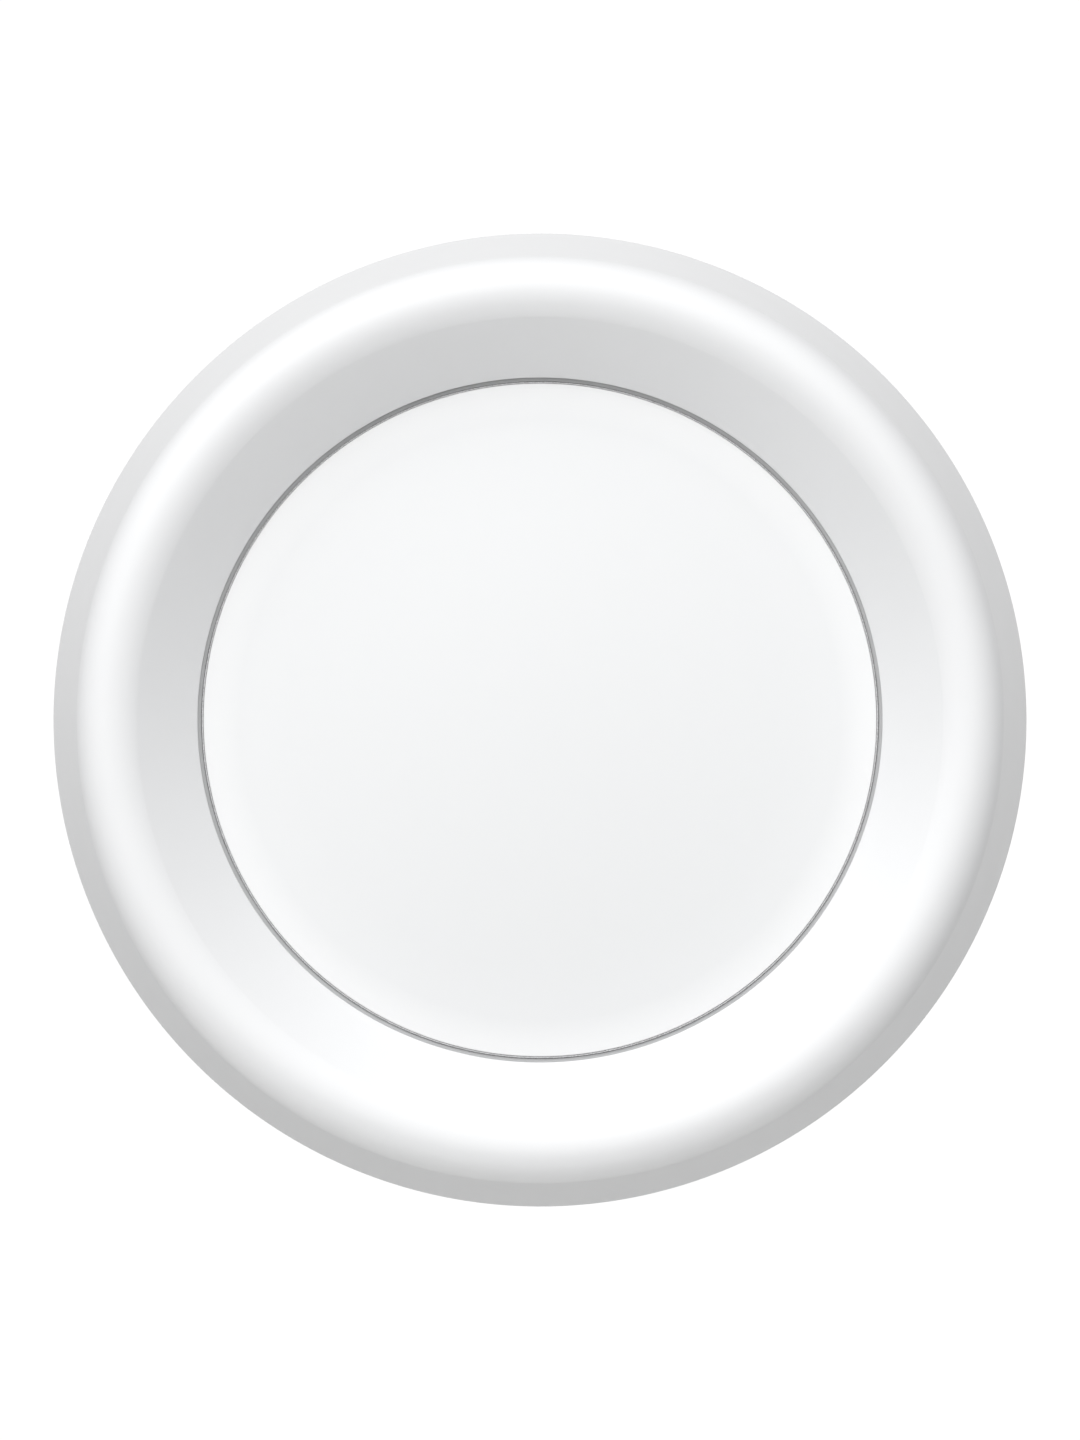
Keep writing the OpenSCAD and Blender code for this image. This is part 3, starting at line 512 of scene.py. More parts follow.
class Shape:
    """Collects closed solids, given in the working frame, into one mesh."""

    def __init__(self):
        self.points, self.faces, self.looks = [], [], []
        self.matrix = Matrix.Identity(4)

    def add(self, points, faces, look=0):
        first = len(self.points)
        self.points += [to_row(*(self.matrix @ Vector(p))) for p in points]
        self.faces += [[first + i for i in face] for face in faces]
        self.looks += [look] * len(faces)

    def strips(self, rings, look=0, closed=False, caps=True):
        """Rings of equally many points joined one to the next, capped at both ends or closed into a loop."""
        count = len(rings[0])
        faces = []
        for i in range(len(rings) - (0 if closed else 1)):
            a, b = i * count, (i + 1) % len(rings) * count
            faces += [[a + j, a + (j + 1) % count, b + (j + 1) % count, b + j] for j in range(count)]
        if caps and not closed:
            faces.append(list(range(count))[::-1])
            faces.append([(len(rings) - 1) * count + j for j in range(count)])
        self.add([p for ring in rings for p in ring], faces, look)

    def lathe(self, outline, steps=256, look=0, centre=(0, 0), trim=(0, 0, 0)):
        """A closed outline of (radius, height) turned about an axis that stands on the wall.
        trim is a look of its own for a stretch of the outline: its first and last point, and the look."""
        rings = []
        for i in range(steps):
            c, s = math.cos(2 * math.pi * i / steps), math.sin(2 * math.pi * i / steps)
            rings.append([(centre[0] + r * c, centre[1] + r * s, z) for r, z in outline])
        first = len(self.looks)
        self.strips(rings, look, closed=True)
        for i in range(steps):
            for j in range(trim[0], trim[1]):
                self.looks[first + i * len(outline) + j] = trim[2]

    def prism(self, outline, low, high, edge=0.0, look=0, steps=3):
        """An anticlockwise outline between two levels, with rounded edges."""
        turns = [math.pi / 2 * i / steps for i in range(steps + 1)] if edge else [math.pi / 2]
        foot = [(edge * (1 - math.sin(t)), low + edge * (1 - math.cos(t))) for t in turns]
        head = [(edge * (1 - math.sin(t)), high - edge * (1 - math.cos(t))) for t in reversed(turns)]
        self.strips([[(x, y, z) for x, y in inset(outline, d)] for d, z in foot + head], look)

    def box(self, x, y, w, h, low, high, edge=0.0, look=0, corner=0.0):
        outline = rounded(w, h, corner or max(edge, 0.02), x, y, 3 if corner else 1)
        self.prism(outline, low, high, edge, look)

    def tube(self, path, radius, sides=12, look=0, closed=False):
        """A round tube along a path of points."""
        points = [Vector(p) for p in path]
        count = len(points)
        side = None
        rings = []
        for i, p in enumerate(points):
            before = points[(i - 1) % count] if closed or i else p
            after = points[(i + 1) % count] if closed or i < count - 1 else p
            along = (after - before).normalized()
            if side is None:
                side = along.orthogonal().normalized()
            side = (side - along * side.dot(along)).normalized()
            up = along.cross(side)
            turns = [2 * math.pi * k / sides for k in range(sides)]
            rings.append([p + (side * math.cos(t) + up * math.sin(t)) * radius for t in turns])
        self.strips(rings, look, closed=closed)

    def coil(self, radius, low, high, turns, section, steps=24, look=0, point=False, closed_turns=0.0):
        """A section of (radius, height) offsets swept around a helix. point thins its ends away;
        closed_turns is how many turns at each end lie against each other."""
        rings = []
        total = int(turns * steps)
        tight = 1.05 * (max(z for _, z in section) - min(z for _, z in section))
        for i in range(total + 1):
            turn = i / steps
            end = min(turn, total / steps - turn)
            thin = min(1.0, 0.04 + end) if point else 1.0
            loose = (high - low - 2 * closed_turns * tight) / (total / steps - 2 * closed_turns)
            climb = end * tight if end < closed_turns else closed_turns * tight + (end - closed_turns) * loose
            z = low + climb if turn <= total / steps / 2 else high - climb
            c, s = math.cos(2 * math.pi * turn), math.sin(2 * math.pi * turn)
            rings.append([((radius + dr * thin) * c, (radius + dr * thin) * s, z + dz * thin)
                          for dr, dz in section])
        self.strips(rings, look)

    def face(self, outer, holes, z, look=0):
        """A flat face with holes in it."""
        loops = [[Vector((x, y, 0)) for x, y in loop] for loop in [outer, *holes]]
        points = [(p.x, p.y, z) for loop in loops for p in loop]
        self.add(points, [list(t) for t in tessellate_polygon(loops)], look)

    def mesh(self, name, weld=2e-7):
        mesh = bpy.data.meshes.new(name)
        mesh.from_pydata(self.points, [], self.faces)
        work = bmesh.new()
        work.from_mesh(mesh)
        for face, look in zip(work.faces, self.looks):
            face.material_index = look
        bmesh.ops.remove_doubles(work, verts=work.verts, dist=weld)
        bmesh.ops.dissolve_degenerate(work, edges=work.edges, dist=1e-8)
        bmesh.ops.recalc_face_normals(work, faces=work.faces)
        work.to_mesh(mesh)
        work.free()
        return mesh

    def build(self, name, looks, body, nodes=(), sharp_deg=32):
        return add_piece(name, self.mesh(name), looks, body, nodes, sharp_deg)


def ribbon(path, thickness):
    """The outline of a bent strip of even thickness that follows a path."""
    sides = [[], []]
    for i, (x, y) in enumerate(path):
        (ax, ay), (bx, by) = path[max(i - 1, 0)], path[min(i + 1, len(path) - 1)]
        along = Vector((bx - ax, by - ay)).normalized()
        for side, way in zip(sides, (1, -1)):
            side.append((x + along.y * way * thickness / 2, y - along.x * way * thickness / 2))
    return sides[0] + sides[1][::-1]


# Stands an outline of (radius, height) upright, so that a prism's levels run across it
UPRIGHT = Matrix.Rotation(math.radians(90), 4, "X")


def unshade(mesh):
    """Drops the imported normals, so that the rounded edges get their own."""
    for name in ("custom_normal", "sharp_edge", "sharp_face"):
        if name in mesh.attributes:
            mesh.attributes.remove(mesh.attributes[name])
    mesh.shade_smooth()


def modifier(obj, kind, **values):
    made = obj.modifiers.new(kind.lower(), kind)
    for name, value in values.items():
        setattr(made, name, value)


def round_edges(obj, bevel_mm):
    modifier(obj, "DECIMATE", decimate_type="DISSOLVE", angle_limit=math.radians(0.5))
    modifier(obj, "BEVEL", width=bevel_mm * MM, segments=2, limit_method="ANGLE",
             angle_limit=math.radians(30), harden_normals=True)


def keep(node, look, bevel_mm=0.08):
    """A CAD node that stays: its edges are rounded and it gets its own material."""
    obj = frame["nodes"][node]
    obj.data.materials.clear()
    obj.data.materials.append(look)
    unshade(obj.data)
    modifier(obj, "WELD", merge_threshold=1e-6)
    round_edges(obj, bevel_mm)


def remade(name, node, looks, cuts=None, extra=None, bevel_mm=0.1):
    """A piece made from a CAD node's own mesh: shapes cut out of it, edges rounded and small solids added."""
    source = frame["nodes"][node]
    mesh = source.data.copy()
    mesh.materials.clear()
    unshade(mesh)
    work = link(bpy.data.objects.new(name + "_work", mesh))
    modifier(work, "WELD", merge_threshold=1e-6)
    used = [work]
    if cuts:
        used.append(link(bpy.data.objects.new("cutter", cuts.mesh("cutter"))))
        modifier(work, "BOOLEAN", object=used[1], operation="DIFFERENCE", solver="EXACT")
    round_edges(work, bevel_mm)
    graph = bpy.context.evaluated_depsgraph_get()
    made = bmesh.new()
    made.from_mesh(bpy.data.meshes.new_from_object(work.evaluated_get(graph)))
    for obj in used:
        bpy.data.objects.remove(obj)
    if extra:
        made.from_mesh(extra.mesh("extra"))
    result = bpy.data.meshes.new(name)
    made.to_mesh(result)
    made.free()
    unshade(result)
    return add_piece(name, result, looks, source["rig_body"], [node], sharp_deg=25)


# ------------------------------------------------------------------ ring, lens and gasket

RING_R, LIP_R, LIP_ROUND, LIP_Z = 40.5, 35.05, 2.96, 24.04
LIP_INNER_ROUND, LIP_INNER_Z, CREASE_TURN = 3.8, 23.2, 36.31
CONE_EDGE = (28.1, 21.276)
LEDGE_Z = 20.59
TIP = (27.83, 20.57)
HUB_R, BORE_R = 33.2, 31.36
RING_REAR_Z, HUB_Z = levels("dial_ring")[0], 16.346
THRUST_Z, GROOVE = 19.746, (16.846, 17.646)


def ring_section():
    """The ring's section: skirt, lip, cone, ledge, tip, land, hub, and the hollow between hub and skirt."""
    crease = (LIP_R + LIP_ROUND - 0.004, LIP_Z + 0.16)
    points = arc((RING_R - 0.38, RING_REAR_Z + 0.38), 0.38, -90, 10, 8)
    points += [(RING_R, RING_REAR_Z + 0.45), (crease[0] + 0.012, crease[1] - 0.06)]
    points += arc((LIP_R, LIP_Z), LIP_ROUND, 3.2, 88, 30)
    points += arc((LIP_R, LIP_INNER_Z), LIP_INNER_ROUND, 90, 90 + CREASE_TURN, 16)
    points += arc((CONE_EDGE[0] + 0.07, CONE_EDGE[1] + 0.022), 0.05, 134, 180, 4)
    points += [(CONE_EDGE[0] + 0.02, LEDGE_Z), (27.85, LEDGE_Z)]
    points += [TIP, (27.9, 20.45), (27.98, 20.396), (29.3, 20.396), (30, 21.096), (30, THRUST_Z)]
    points += [(BORE_R, THRUST_Z), (BORE_R, GROOVE[1]), (32, GROOVE[1]), (32, GROOVE[0]), (BORE_R, GROOVE[0])]
    points += [(BORE_R, HUB_Z + 0.15), (BORE_R + 0.15, HUB_Z), (HUB_R - 0.15, HUB_Z), (HUB_R, HUB_Z + 0.15)]
    points += [(HUB_R, LIP_Z - 1), (LIP_R - 0.8, LIP_Z + 0.7), (LIP_R + 0.5, LIP_Z + 0.9), (36.26, LIP_Z)]
    return points + [(38.65, RING_REAR_Z + 0.15), (38.8, RING_REAR_Z)]


def build_ring():
    shape = Shape()
    section = ring_section()
    tip = section.index(TIP)
    # The ledge and tip beside the lens get the grey look: painted shade in the groove between ring and lens.
    shape.lathe(section, steps=360, trim=(tip - 3, tip + 3, 1))
    rib = [(HUB_R - 0.2, 17.946), (37.67, 17.946), (36.56, LIP_Z), (HUB_R - 0.2, LIP_Z - 0.4)]
    for i in range(24):
        shape.matrix = turned(i * 15) @ UPRIGHT
        shape.prism(rib, -0.6, 0.6, 0.12, steps=2)
    return shape.build("dial_ring_shell", [ring_white, ring_ledge_painted_shade], "ring", ["dial_ring"])


LENS_R = 27.64
LENS_BACK_Z, LENS_TOP_Z = levels("lens")
LENS_T = 1.2
LENS_CROWN = 2.2
LENS_RIM_R = 24.9


def build_lens():
    dome_r = (LENS_R**2 + LENS_CROWN**2) / (2 * LENS_CROWN)
    centre_z = LENS_TOP_Z - dome_r
    face = [(r, centre_z + math.sqrt(dome_r**2 - r * r)) for r in [27.56 * i / 40 for i in range(40, -1, -1)]]
    back = [(r, z - LENS_T) for r, z in reversed(face) if r < LENS_RIM_R]
    outline = back + [(LENS_RIM_R, back[-1][1] - 0.03), (LENS_RIM_R, LENS_BACK_Z + 0.1)]
    outline += [(LENS_RIM_R + 0.1, LENS_BACK_Z), (LENS_R - 0.1, LENS_BACK_Z), (LENS_R, LENS_BACK_Z + 0.1)]
    outline += arc((LENS_R - 0.08, face[0][1] - 0.08), 0.08, 0, 74, 5) + face
    shape = Shape()
    shape.lathe(outline, steps=256)
    return shape.build("lens_disc", [lens_frosted], "front_carriage", ["lens"])


def build_gasket():
    low, high = levels("lens_gasket")
    shape = Shape()
    section = [(25.3, low), (28.1, low), (28.2, low + 0.08), (28.2, high - 0.08), (28.1, high), (27.79, high),
               (27.78, 20.86), (27.67, 20.86), (27.66, high), (25.3, high), (25.2, high - 0.08),
               (25.2, low + 0.08)]
    shape.lathe(section, steps=192)
    shape.build("lens_gasket_foam", [gasket_foam], "front_carriage", ["lens_gasket"])


# ------------------------------------------------------------------ fasteners and springs

CROSS = [(1, 1), (1, 3.6), (-1, 3.6), (-1, 1), (-3.6, 1), (-3.6, -1), (-1, -1), (-1, -3.6), (1, -3.6),
         (1, -1), (3.6, -1), (3.6, 1)]


def add_screw(shape, place, head_r, head_t, shank_r, length, pitch=0.6):
    """A cross-recessed screw with its seat at its place's z = 0 and its head upwards."""
    shape.matrix = place
    profile = [(0.95, 0), (1, 0.06), (1, 0.45), (0.965, 0.66), (0.87, 0.84), (0.72, 0.95), (0.6, 1)]
    rings = [[(x, y, head_t * h) for x, y in circle(head_r * r)] for r, h in profile]
    shape.strips(rings, caps=False)
    shape.add(rings[0], [list(range(len(rings[0])))[::-1]])
    recess = [[(x * head_r * size, y * head_r * size, head_t * h) for x, y in CROSS]
              for size, h in ((0.145, 1), (0.12, 0.55), (0.07, 0.4))]
    shape.face(circle(head_r * 0.6), [[(x, y) for x, y, z in recess[0]]], head_t)
    shape.strips(recess[::-1], caps=False)
    shape.add(recess[2], [list(range(len(CROSS)))])
    core = shank_r * 0.8
    tip = [(core, 0.05), (core, -length + 0.5), (core * 0.75, -length + 0.15), (core * 0.35, -length)]
    shape.strips([[(x, y, z) for x, y in circle(r, steps=24)] for r, z in reversed(tip)])
    ridge = [(-0.04, -pitch * 0.3), (shank_r - core, -0.03), (shank_r - core, 0.03), (-0.04, pitch * 0.3)]
    turns = (length - 0.7) / pitch
    shape.coil(core, -length + 0.3, -0.4, turns, ridge, point=True)


def build_screws(name, node, body, places, head_r, head_t, shank_r, length):
    shape = Shape()
    for i, place in enumerate(places):
        add_screw(shape, place @ Matrix.Rotation(0.4 + 1.3 * i, 4, "Z"), head_r, head_t, shank_r, length)
    shape.build(name, [screw_steel], body, [node])


GUIDE_ANGLES, GUIDE_AT_R = (90, 210, 330), 27.5
SCREW_ANGLES, SCREW_AT_R = (30, 150, 270), 29
COVER_SCREW_XY = 20.9
FLIP = Matrix.Rotation(math.pi, 4, "X")


def build_all_screws():
    corners = [Matrix.Translation((sx * COVER_SCREW_XY, sy * COVER_SCREW_XY, 5.4))
               for sx in (-1, 1) for sy in (-1, 1)]
    build_screws("cover_screws_threaded", "cover_screws", "base", corners, 1.9, 1, 0.8, 2.8)
    rear = [turned(a, SCREW_AT_R, 0, 10.2) @ FLIP for a in SCREW_ANGLES]
    build_screws("rear_screws_threaded", "rear_screws", "display_unit", rear, 1.9, 1.2, 0.83, 5.2)
    guides = [turned(a, GUIDE_AT_R, 0, 17.896) for a in GUIDE_ANGLES]
    build_screws("guide_screws_threaded", "guide_screws", "display_unit", guides, 1.8, 0.75, 0.8, 3.6)


def build_return_springs():
    low, high = levels("return_springs")
    shape = Shape()
    for a in GUIDE_ANGLES:
        shape.matrix = turned(a, GUIDE_AT_R)
        shape.coil(1.85, low + 0.16, high - 0.16, 6, circle(0.16, steps=10), steps=40, closed_turns=1)
    piece = shape.build("return_springs_wound", [spring_steel], "display_unit",
                        ["return_springs"])
    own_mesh(piece)


def build_switch_dome():
    low, high = levels("switch_dome")
    shape = Shape()
    bowl_r = (1.5**2 + (high - low - 0.05) ** 2) / (2 * (high - low - 0.05))
    top = [(r, high - bowl_r + math.sqrt(bowl_r**2 - r * r)) for r in [1.5 * i / 16 for i in range(17)]]
    under = [(r, z - 0.07) for r, z in reversed(top)]
    shape.lathe(top + [(1.55, low + 0.02), (1.55, low)] + under[:-1] + [(0, under[-1][1])], steps=64)
    piece = shape.build("switch_dome_snap", [spring_steel], "display_unit", ["switch_dome"])
    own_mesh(piece)


def build_latch_springs():
    path = [(33.4, 2.15), (34.7, 2.15)] + arc((34.7, 2.65), 0.5, -90, 0, 6)[1:]
    path += [(35.2, 8.3)] + arc((34.6, 8.3), 0.6, 0, 38, 4)[1:] + [(34.1, 9.75)]
    path += arc((34.4, 10.0), 0.4, 215, 140, 5) + [(34.95, 11.0)]
    shape = Shape()
    for a in GUIDE_ANGLES:
        shape.matrix = turned(a) @ UPRIGHT
        outline = ribbon(path, 0.28)
        for low, high in ((-4, -1.6), (1.6, 4)):
            shape.prism(outline, low, high, 0.05, steps=2)
        for part in (path[:5], path[-6:]):
            shape.prism(ribbon(part, 0.28), -1.65, 1.65)
    shape.build("latch_springs_bent", [spring_steel], "base", ["latch_springs"])


CLAMP_Z = 3.4
TERMINAL_PITCH = 8
BLOCK_X = 12.6


def terminal_place(number):
    """Terminals 1 to 3 run down the left block and 4 to 6 up the right one."""
    left = number <= 3
    row = number - 2 if left else number - 5
    return turned(180 if left else 0) @ Matrix.Translation((BLOCK_X, row * TERMINAL_PITCH, 0))


def build_clamp_spring(number):
    path = [(5.5, 0.13), (11.7, 0.13)] + arc((11.7, 0.58), 0.45, -90, 0, 7)[1:]
    path += arc((11.7, 1.2), 0.45, 0, 86, 7) + [(6.5, 1.79), (3.2, 1.88), (3.05, 1.76)]
    shape = Shape()
    shape.matrix = terminal_place(number) @ Matrix.Translation((0, 0, CLAMP_Z)) @ UPRIGHT
    shape.prism(ribbon(path, 0.24), -1.6, 1.6, 0.05, steps=2)
    piece = shape.build(f"clamp_spring_{number}", [spring_steel], "base", ["clamp_springs"])
    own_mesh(piece)


# ------------------------------------------------------------------ base


def build_base_plate():
    cuts, extra = Shape(), Shape()
    for r_in, r_out, count in ((11.6, 20.6, 12), (22, 33.4, 18)):
        half = 180 / count - math.degrees(0.6 / r_in)
        for i in range(count):
            a = 360 / count * (i + 0.5)
            x, y = arc((0, 0), (r_in + r_out) / 2, a, a, 1)[0]
            if math.hypot(x, abs(y) - 27.5) > 7.5:
                cuts.prism(sector(r_in, r_out, a - half, a + half), -0.5, 0.8)
    extra.lathe([(8.52, 1.9), (9.7, 1.9), (9.7, 2.8), (9.5, 3.0), (8.72, 3.0), (8.52, 2.8)], steps=96)
    for a in range(0, 360, 30):
        extra.matrix = turned(a + 15)
        extra.box(21.5, 0, 19, 0.9, 1.9, 2.35, 0.1)
    extra.matrix = Matrix.Identity(4)
    remade("base_plate_moulded", "base_plate", [shell_white], cuts, extra, bevel_mm=0.15)


def build_base_cover():
    cuts, extra = Shape(), Shape()
    for side in (-1, 1):
        for row in (-1, 0, 1):
            for i in range(row + 2):
                dot = circle(0.42, side * (28.4 + 1.3 * i), row * side * TERMINAL_PITCH, 24)
                extra.prism(dot, 5.35, 5.55, 0.1)
    for x in (-12.5, 12.5):
        extra.prism([(x - 1.6, 26.2), (x + 1.6, 26.2), (x, 28.8)], 5.35, 5.58, 0.1)
    for start, end in ((104, 112), (68, 76), (236, 248), (292, 304)):
        cuts.prism(sector(30.4, 31.4, start, end), 4, 6)
    remade("base_cover_moulded", "base_cover", [shell_white], cuts, extra, bevel_mm=0.12)


def build_terminal_block(side):
    cuts = Shape()
    for row in (-1, 0, 1):
        cuts.matrix = turned(0 if side > 0 else 180) @ Matrix.Translation((BLOCK_X, row * TERMINAL_PITCH, 0))
        wide = [(-0.3, -1.9, 3.65), (-0.3, 1.9, 3.65), (-0.3, 1.9, 6.55), (-0.3, -1.9, 6.55)]
        narrow = [(1.1, -1.2, 4.0), (1.1, 1.2, 4.0), (1.1, 1.2, 6.2), (1.1, -1.2, 6.2)]
        cuts.strips([wide, narrow])
        cuts.prism(circle(0.55, 5.2, 0, 24), 6.5, 7.5)
        if row < 1:
            cuts.box(6.7, TERMINAL_PITCH / 2, 11, 0.35, 6.7, 7.5)
    name = "terminal_block_right" if side > 0 else "terminal_block_left"
    remade(name + "_moulded", name, [terminal_grey], cuts, bevel_mm=0.1)


def build_lever(number):
    cuts = Shape()
    cuts.matrix = terminal_place(number)
    for x in (-1, 0, 1):
        cuts.box(10.2 + 0.85 * x, 0, 0.3, 3.6, 7.78, 9)
    remade(f"lever_{number}_cap", f"lever_{number}", [lever_orange], cuts, bevel_mm=0.14)


PLUG_Y, PIN_PITCH = 17.5, 2.54
PINS = [(col * PIN_PITCH, PLUG_Y + row * PIN_PITCH / 2) for col in range(-2, 3) for row in (-1, 1)]


def build_sockets():
    cuts = Shape()
    for x, y in PINS:
        cuts.strips([[(x + sx * w, y + sy * w, z) for sx, sy in ((1, 1), (-1, 1), (-1, -1), (1, -1))]
                     for w, z in ((0.48, 7.9), (0.95, 8.4))])
    cuts.box(0, 20.2, 3, 0.8, 6, 9)
    remade("base_socket_moulded", "base_socket", [black_plastic], cuts, bevel_mm=0.1)
    keep("socket_contacts", gold, 0.03)
    pins = Shape()
    low, high = levels("plug_pins")
    for x, y in PINS:
        sizes = ((0.1, 0), (0.25, 0.45), (0.25, high - low))
        pins.strips([[(x + px, y + py, low + z) for px, py in rounded(2 * w, 2 * w, 0.05, steps=2)]
                     for w, z in sizes])
    pins.build("plug_pins_plated", [gold], "display_unit", ["plug_pins"])
    seats = Shape()
    for x, y in PINS:
        seats.box(x, y, 1.3, 1.3, 8.3, 8.8, 0)
    remade("board_plug_moulded", "board_plug", [black_plastic], seats, bevel_mm=0.12)


def capsule(r, half, steps=10):
    """A rod with rounded ends as an outline of (radius, height)."""
    soft = r * 0.45
    foot = [(r - soft + x, -half + soft + y) for x, y in arc((0, 0), soft, -90, 0, steps)]
    return [(0, -half)] + foot + [(x, -y) for x, y in reversed(foot)] + [(0, half)]


LEVEL_Y, LEVEL_Z, LEVEL_HALF = -18.5, 5.9, 8.7


def build_level():
    lying = Matrix.Translation((0, LEVEL_Y, LEVEL_Z)) @ ALONG_X
    tube = Shape()
    tube.matrix = lying
    tube.lathe(capsule(2.2, LEVEL_HALF), steps=64)
    tube.lathe(capsule(1.7, LEVEL_HALF - 1), steps=64)
    for x in (-2.9, 2.9):
        ring = [(2.16, x - 0.14), (2.21, x - 0.14), (2.21, x + 0.14), (2.16, x + 0.14)]
        tube.lathe(ring, steps=64, look=1)
    tube.build("level_vial_tube", [vial_clear, black_plastic], "base", ["level_vial"])
    liquid = Shape()
    liquid.matrix = lying
    liquid.lathe(capsule(1.67, LEVEL_HALF - 1.03), steps=64)
    liquid.matrix = Matrix.Translation((0, LEVEL_Y + 0.62, LEVEL_Z + 0.3)) @ ALONG_X
    liquid.lathe(capsule(0.95, 2.1), steps=40, look=1)
    liquid.build("level_liquid_bubble", [vial_liquid, bubble_air], "base", ["level_liquid"])


# ------------------------------------------------------------------ circuit boards


def add_passive(shape, x, y, z, up, size, along=True, look=0):
    """A small soldered part with metal ends: z is the board's face and up is 1 or -1."""
    w, h, t = size
    if not along:
        w, h = h, w
    low, high = sorted((z, z + up * t))
    shape.box(x, y, w * 0.96, h * 0.96, low, high - 0.01, 0.03, look)
    for s in (-1, 1):
        dx, dy = (s * w * 0.4, 0) if along else (0, s * h * 0.4)
        ew, eh = (w * 0.22, h) if along else (w, h * 0.22)
        shape.box(x + dx, y + dy, ew, eh, low, high, 0.04, 1)


def add_package(shape, x, y, w, h, low, high, legs, look=0):
    """A chip with rows of bent legs along its two long sides."""
    shape.box(x, y, w - 0.9, h - 0.1, low + 0.08, high, 0.08, look)
    pitch = (h - 0.6) / (legs - 1)
    for s in (-1, 1):
        for i in range(legs):
            ly = y - h / 2 + 0.3 + i * pitch
            shape.box(x + s * (w / 2 - 0.22), ly, 0.46, pitch * 0.45, low, low + 0.12, 0.02, 1)
            shape.box(x + s * (w / 2 - 0.45), ly, 0.14, pitch * 0.45, low, low + (high - low) * 0.5, 0.02, 1)


def scatter(seed, count, size, reach, blocked):
    """Places for small parts on a board, clear of the blocked discs and rectangles and of each other."""
    rng = random.Random(seed)
    places = []
    for _ in range(count * 60):
        x, y = rng.uniform(-reach, reach), rng.uniform(-reach, reach)
        along = rng.random() < 0.5
        w, h = (size[0], size[1]) if along else (size[1], size[0])
        clear_of_parts = all(abs(x - px) > (w + size[0]) / 2 + 0.3 or abs(y - py) > (h + size[0]) / 2 + 0.3
                             for px, py, _ in places)
        clear_of_blocks = all(abs(x - bx) > (w + bw) / 2 + 0.3 or abs(y - by) > (h + bh) / 2 + 0.3
                              for bx, by, bw, bh in blocked)
        if math.hypot(x, y) < reach and clear_of_parts and clear_of_blocks:
            places.append((round(x / 0.2) * 0.2, round(y / 0.2) * 0.2, along))
        if len(places) == count:
            break
    return places


BOARD_UNDER_Z, BOARD_Z = levels("main_board")
BUZZER_X, BUZZER_Y = 17, 7.5
USB_Y = 8.5
COIL_X, COIL_Y = -19.5, 11
CAN_X, CAN_Y = -14, 12.5
POSTS = [(*arc((0, 0), r, a, a, 1)[0], 6, 6)
         for angles, r in ((GUIDE_ANGLES, GUIDE_AT_R), (SCREW_ANGLES, SCREW_AT_R)) for a in angles]
FRONT_BLOCKED = POSTS + [(-14, 3.5, 10, 10), (-14, -5.8, 9, 7), (14, 0, 14, 16), (0, 0, 7.4, 7.4)]
FRONT_BLOCKED += [(0, -18, 13, 8), (12, 20.8, 4, 4), (-24, 0, 4, 4), (12, -20.8, 4, 4), (15.65, 27.1, 5, 5)]
REAR_BLOCKED = POSTS + [(0, PLUG_Y, 15.6, 6.4), (0, USB_Y, 10.4, 4.4), (0, -11.8, 37, 21.4)]
REAR_BLOCKED += [(-11.2, 3, 6, 11), (BUZZER_X, BUZZER_Y, 13, 13), (8.4, -26.4, 4.6, 4.6)]
REAR_BLOCKED += [(COIL_X, COIL_Y, 5.6, 5.6), (CAN_X, CAN_Y, 4.8, 4.8)]
REAR_BLOCKED += [(-20.5, 4.5, 4, 3), (-12.5, 18.2, 3.4, 2.6), (12.5, 18.2, 3.4, 2.6)]


def add_vias(shape, seed, count, reach, blocked, z, up):
    low, high = sorted((z - up * 0.05, z + up * 0.02))
    for x, y, _ in scatter(seed, count, (0.7, 0.7), reach, blocked):
        shape.lathe([(0.16, low), (0.34, low), (0.34, high), (0.16, high)], steps=14, look=3, centre=(x, y))


def build_boards():
    looks = [black_plastic, solder, part_tan, gold]
    keep("main_board", board_green, 0.05)
    keep("base_board", board_green, 0.05)
    front = Shape()
    for i, (x, y, along) in enumerate(scatter(11, 70, (1.0, 0.5), 28.5, FRONT_BLOCKED)):
        add_passive(front, x, y, BOARD_Z, 1, (1.0, 0.5, 0.32), along, (0, 2, 2)[i % 3])
    add_vias(front, 12, 60, 31, FRONT_BLOCKED, BOARD_Z, 1)
    front.build("main_board_front_parts", looks, "display_unit")
    rear = Shape()
    for i, (x, y, along) in enumerate(scatter(21, 44, (1.6, 0.8), 28, REAR_BLOCKED)):
        add_passive(rear, x, y, BOARD_UNDER_Z, -1, (1.6, 0.8, 0.5), along, (2, 0, 2)[i % 3])
    add_vias(rear, 22, 50, 31, REAR_BLOCKED, BOARD_UNDER_Z, -1)
    rear.build("main_board_rear_parts", looks, "display_unit")
    base = Shape()
    z = levels("base_board")[1]
    add_package(base, 11.5, 18, 4, 5, z, z + 0.95, 6)
    for x, y, size in ((-11.5, 16.5, (3.2, 1.6, 0.9)), (-11.5, 20, (3.2, 1.6, 0.9)), (16, -17, (2, 1.2, 0.7)),
                       (-16, -17, (2, 1.2, 0.7))):
        add_passive(base, x, y, z, 1, size, True, 2)
    base.build("base_board_parts", looks, "base", ["base_parts"])


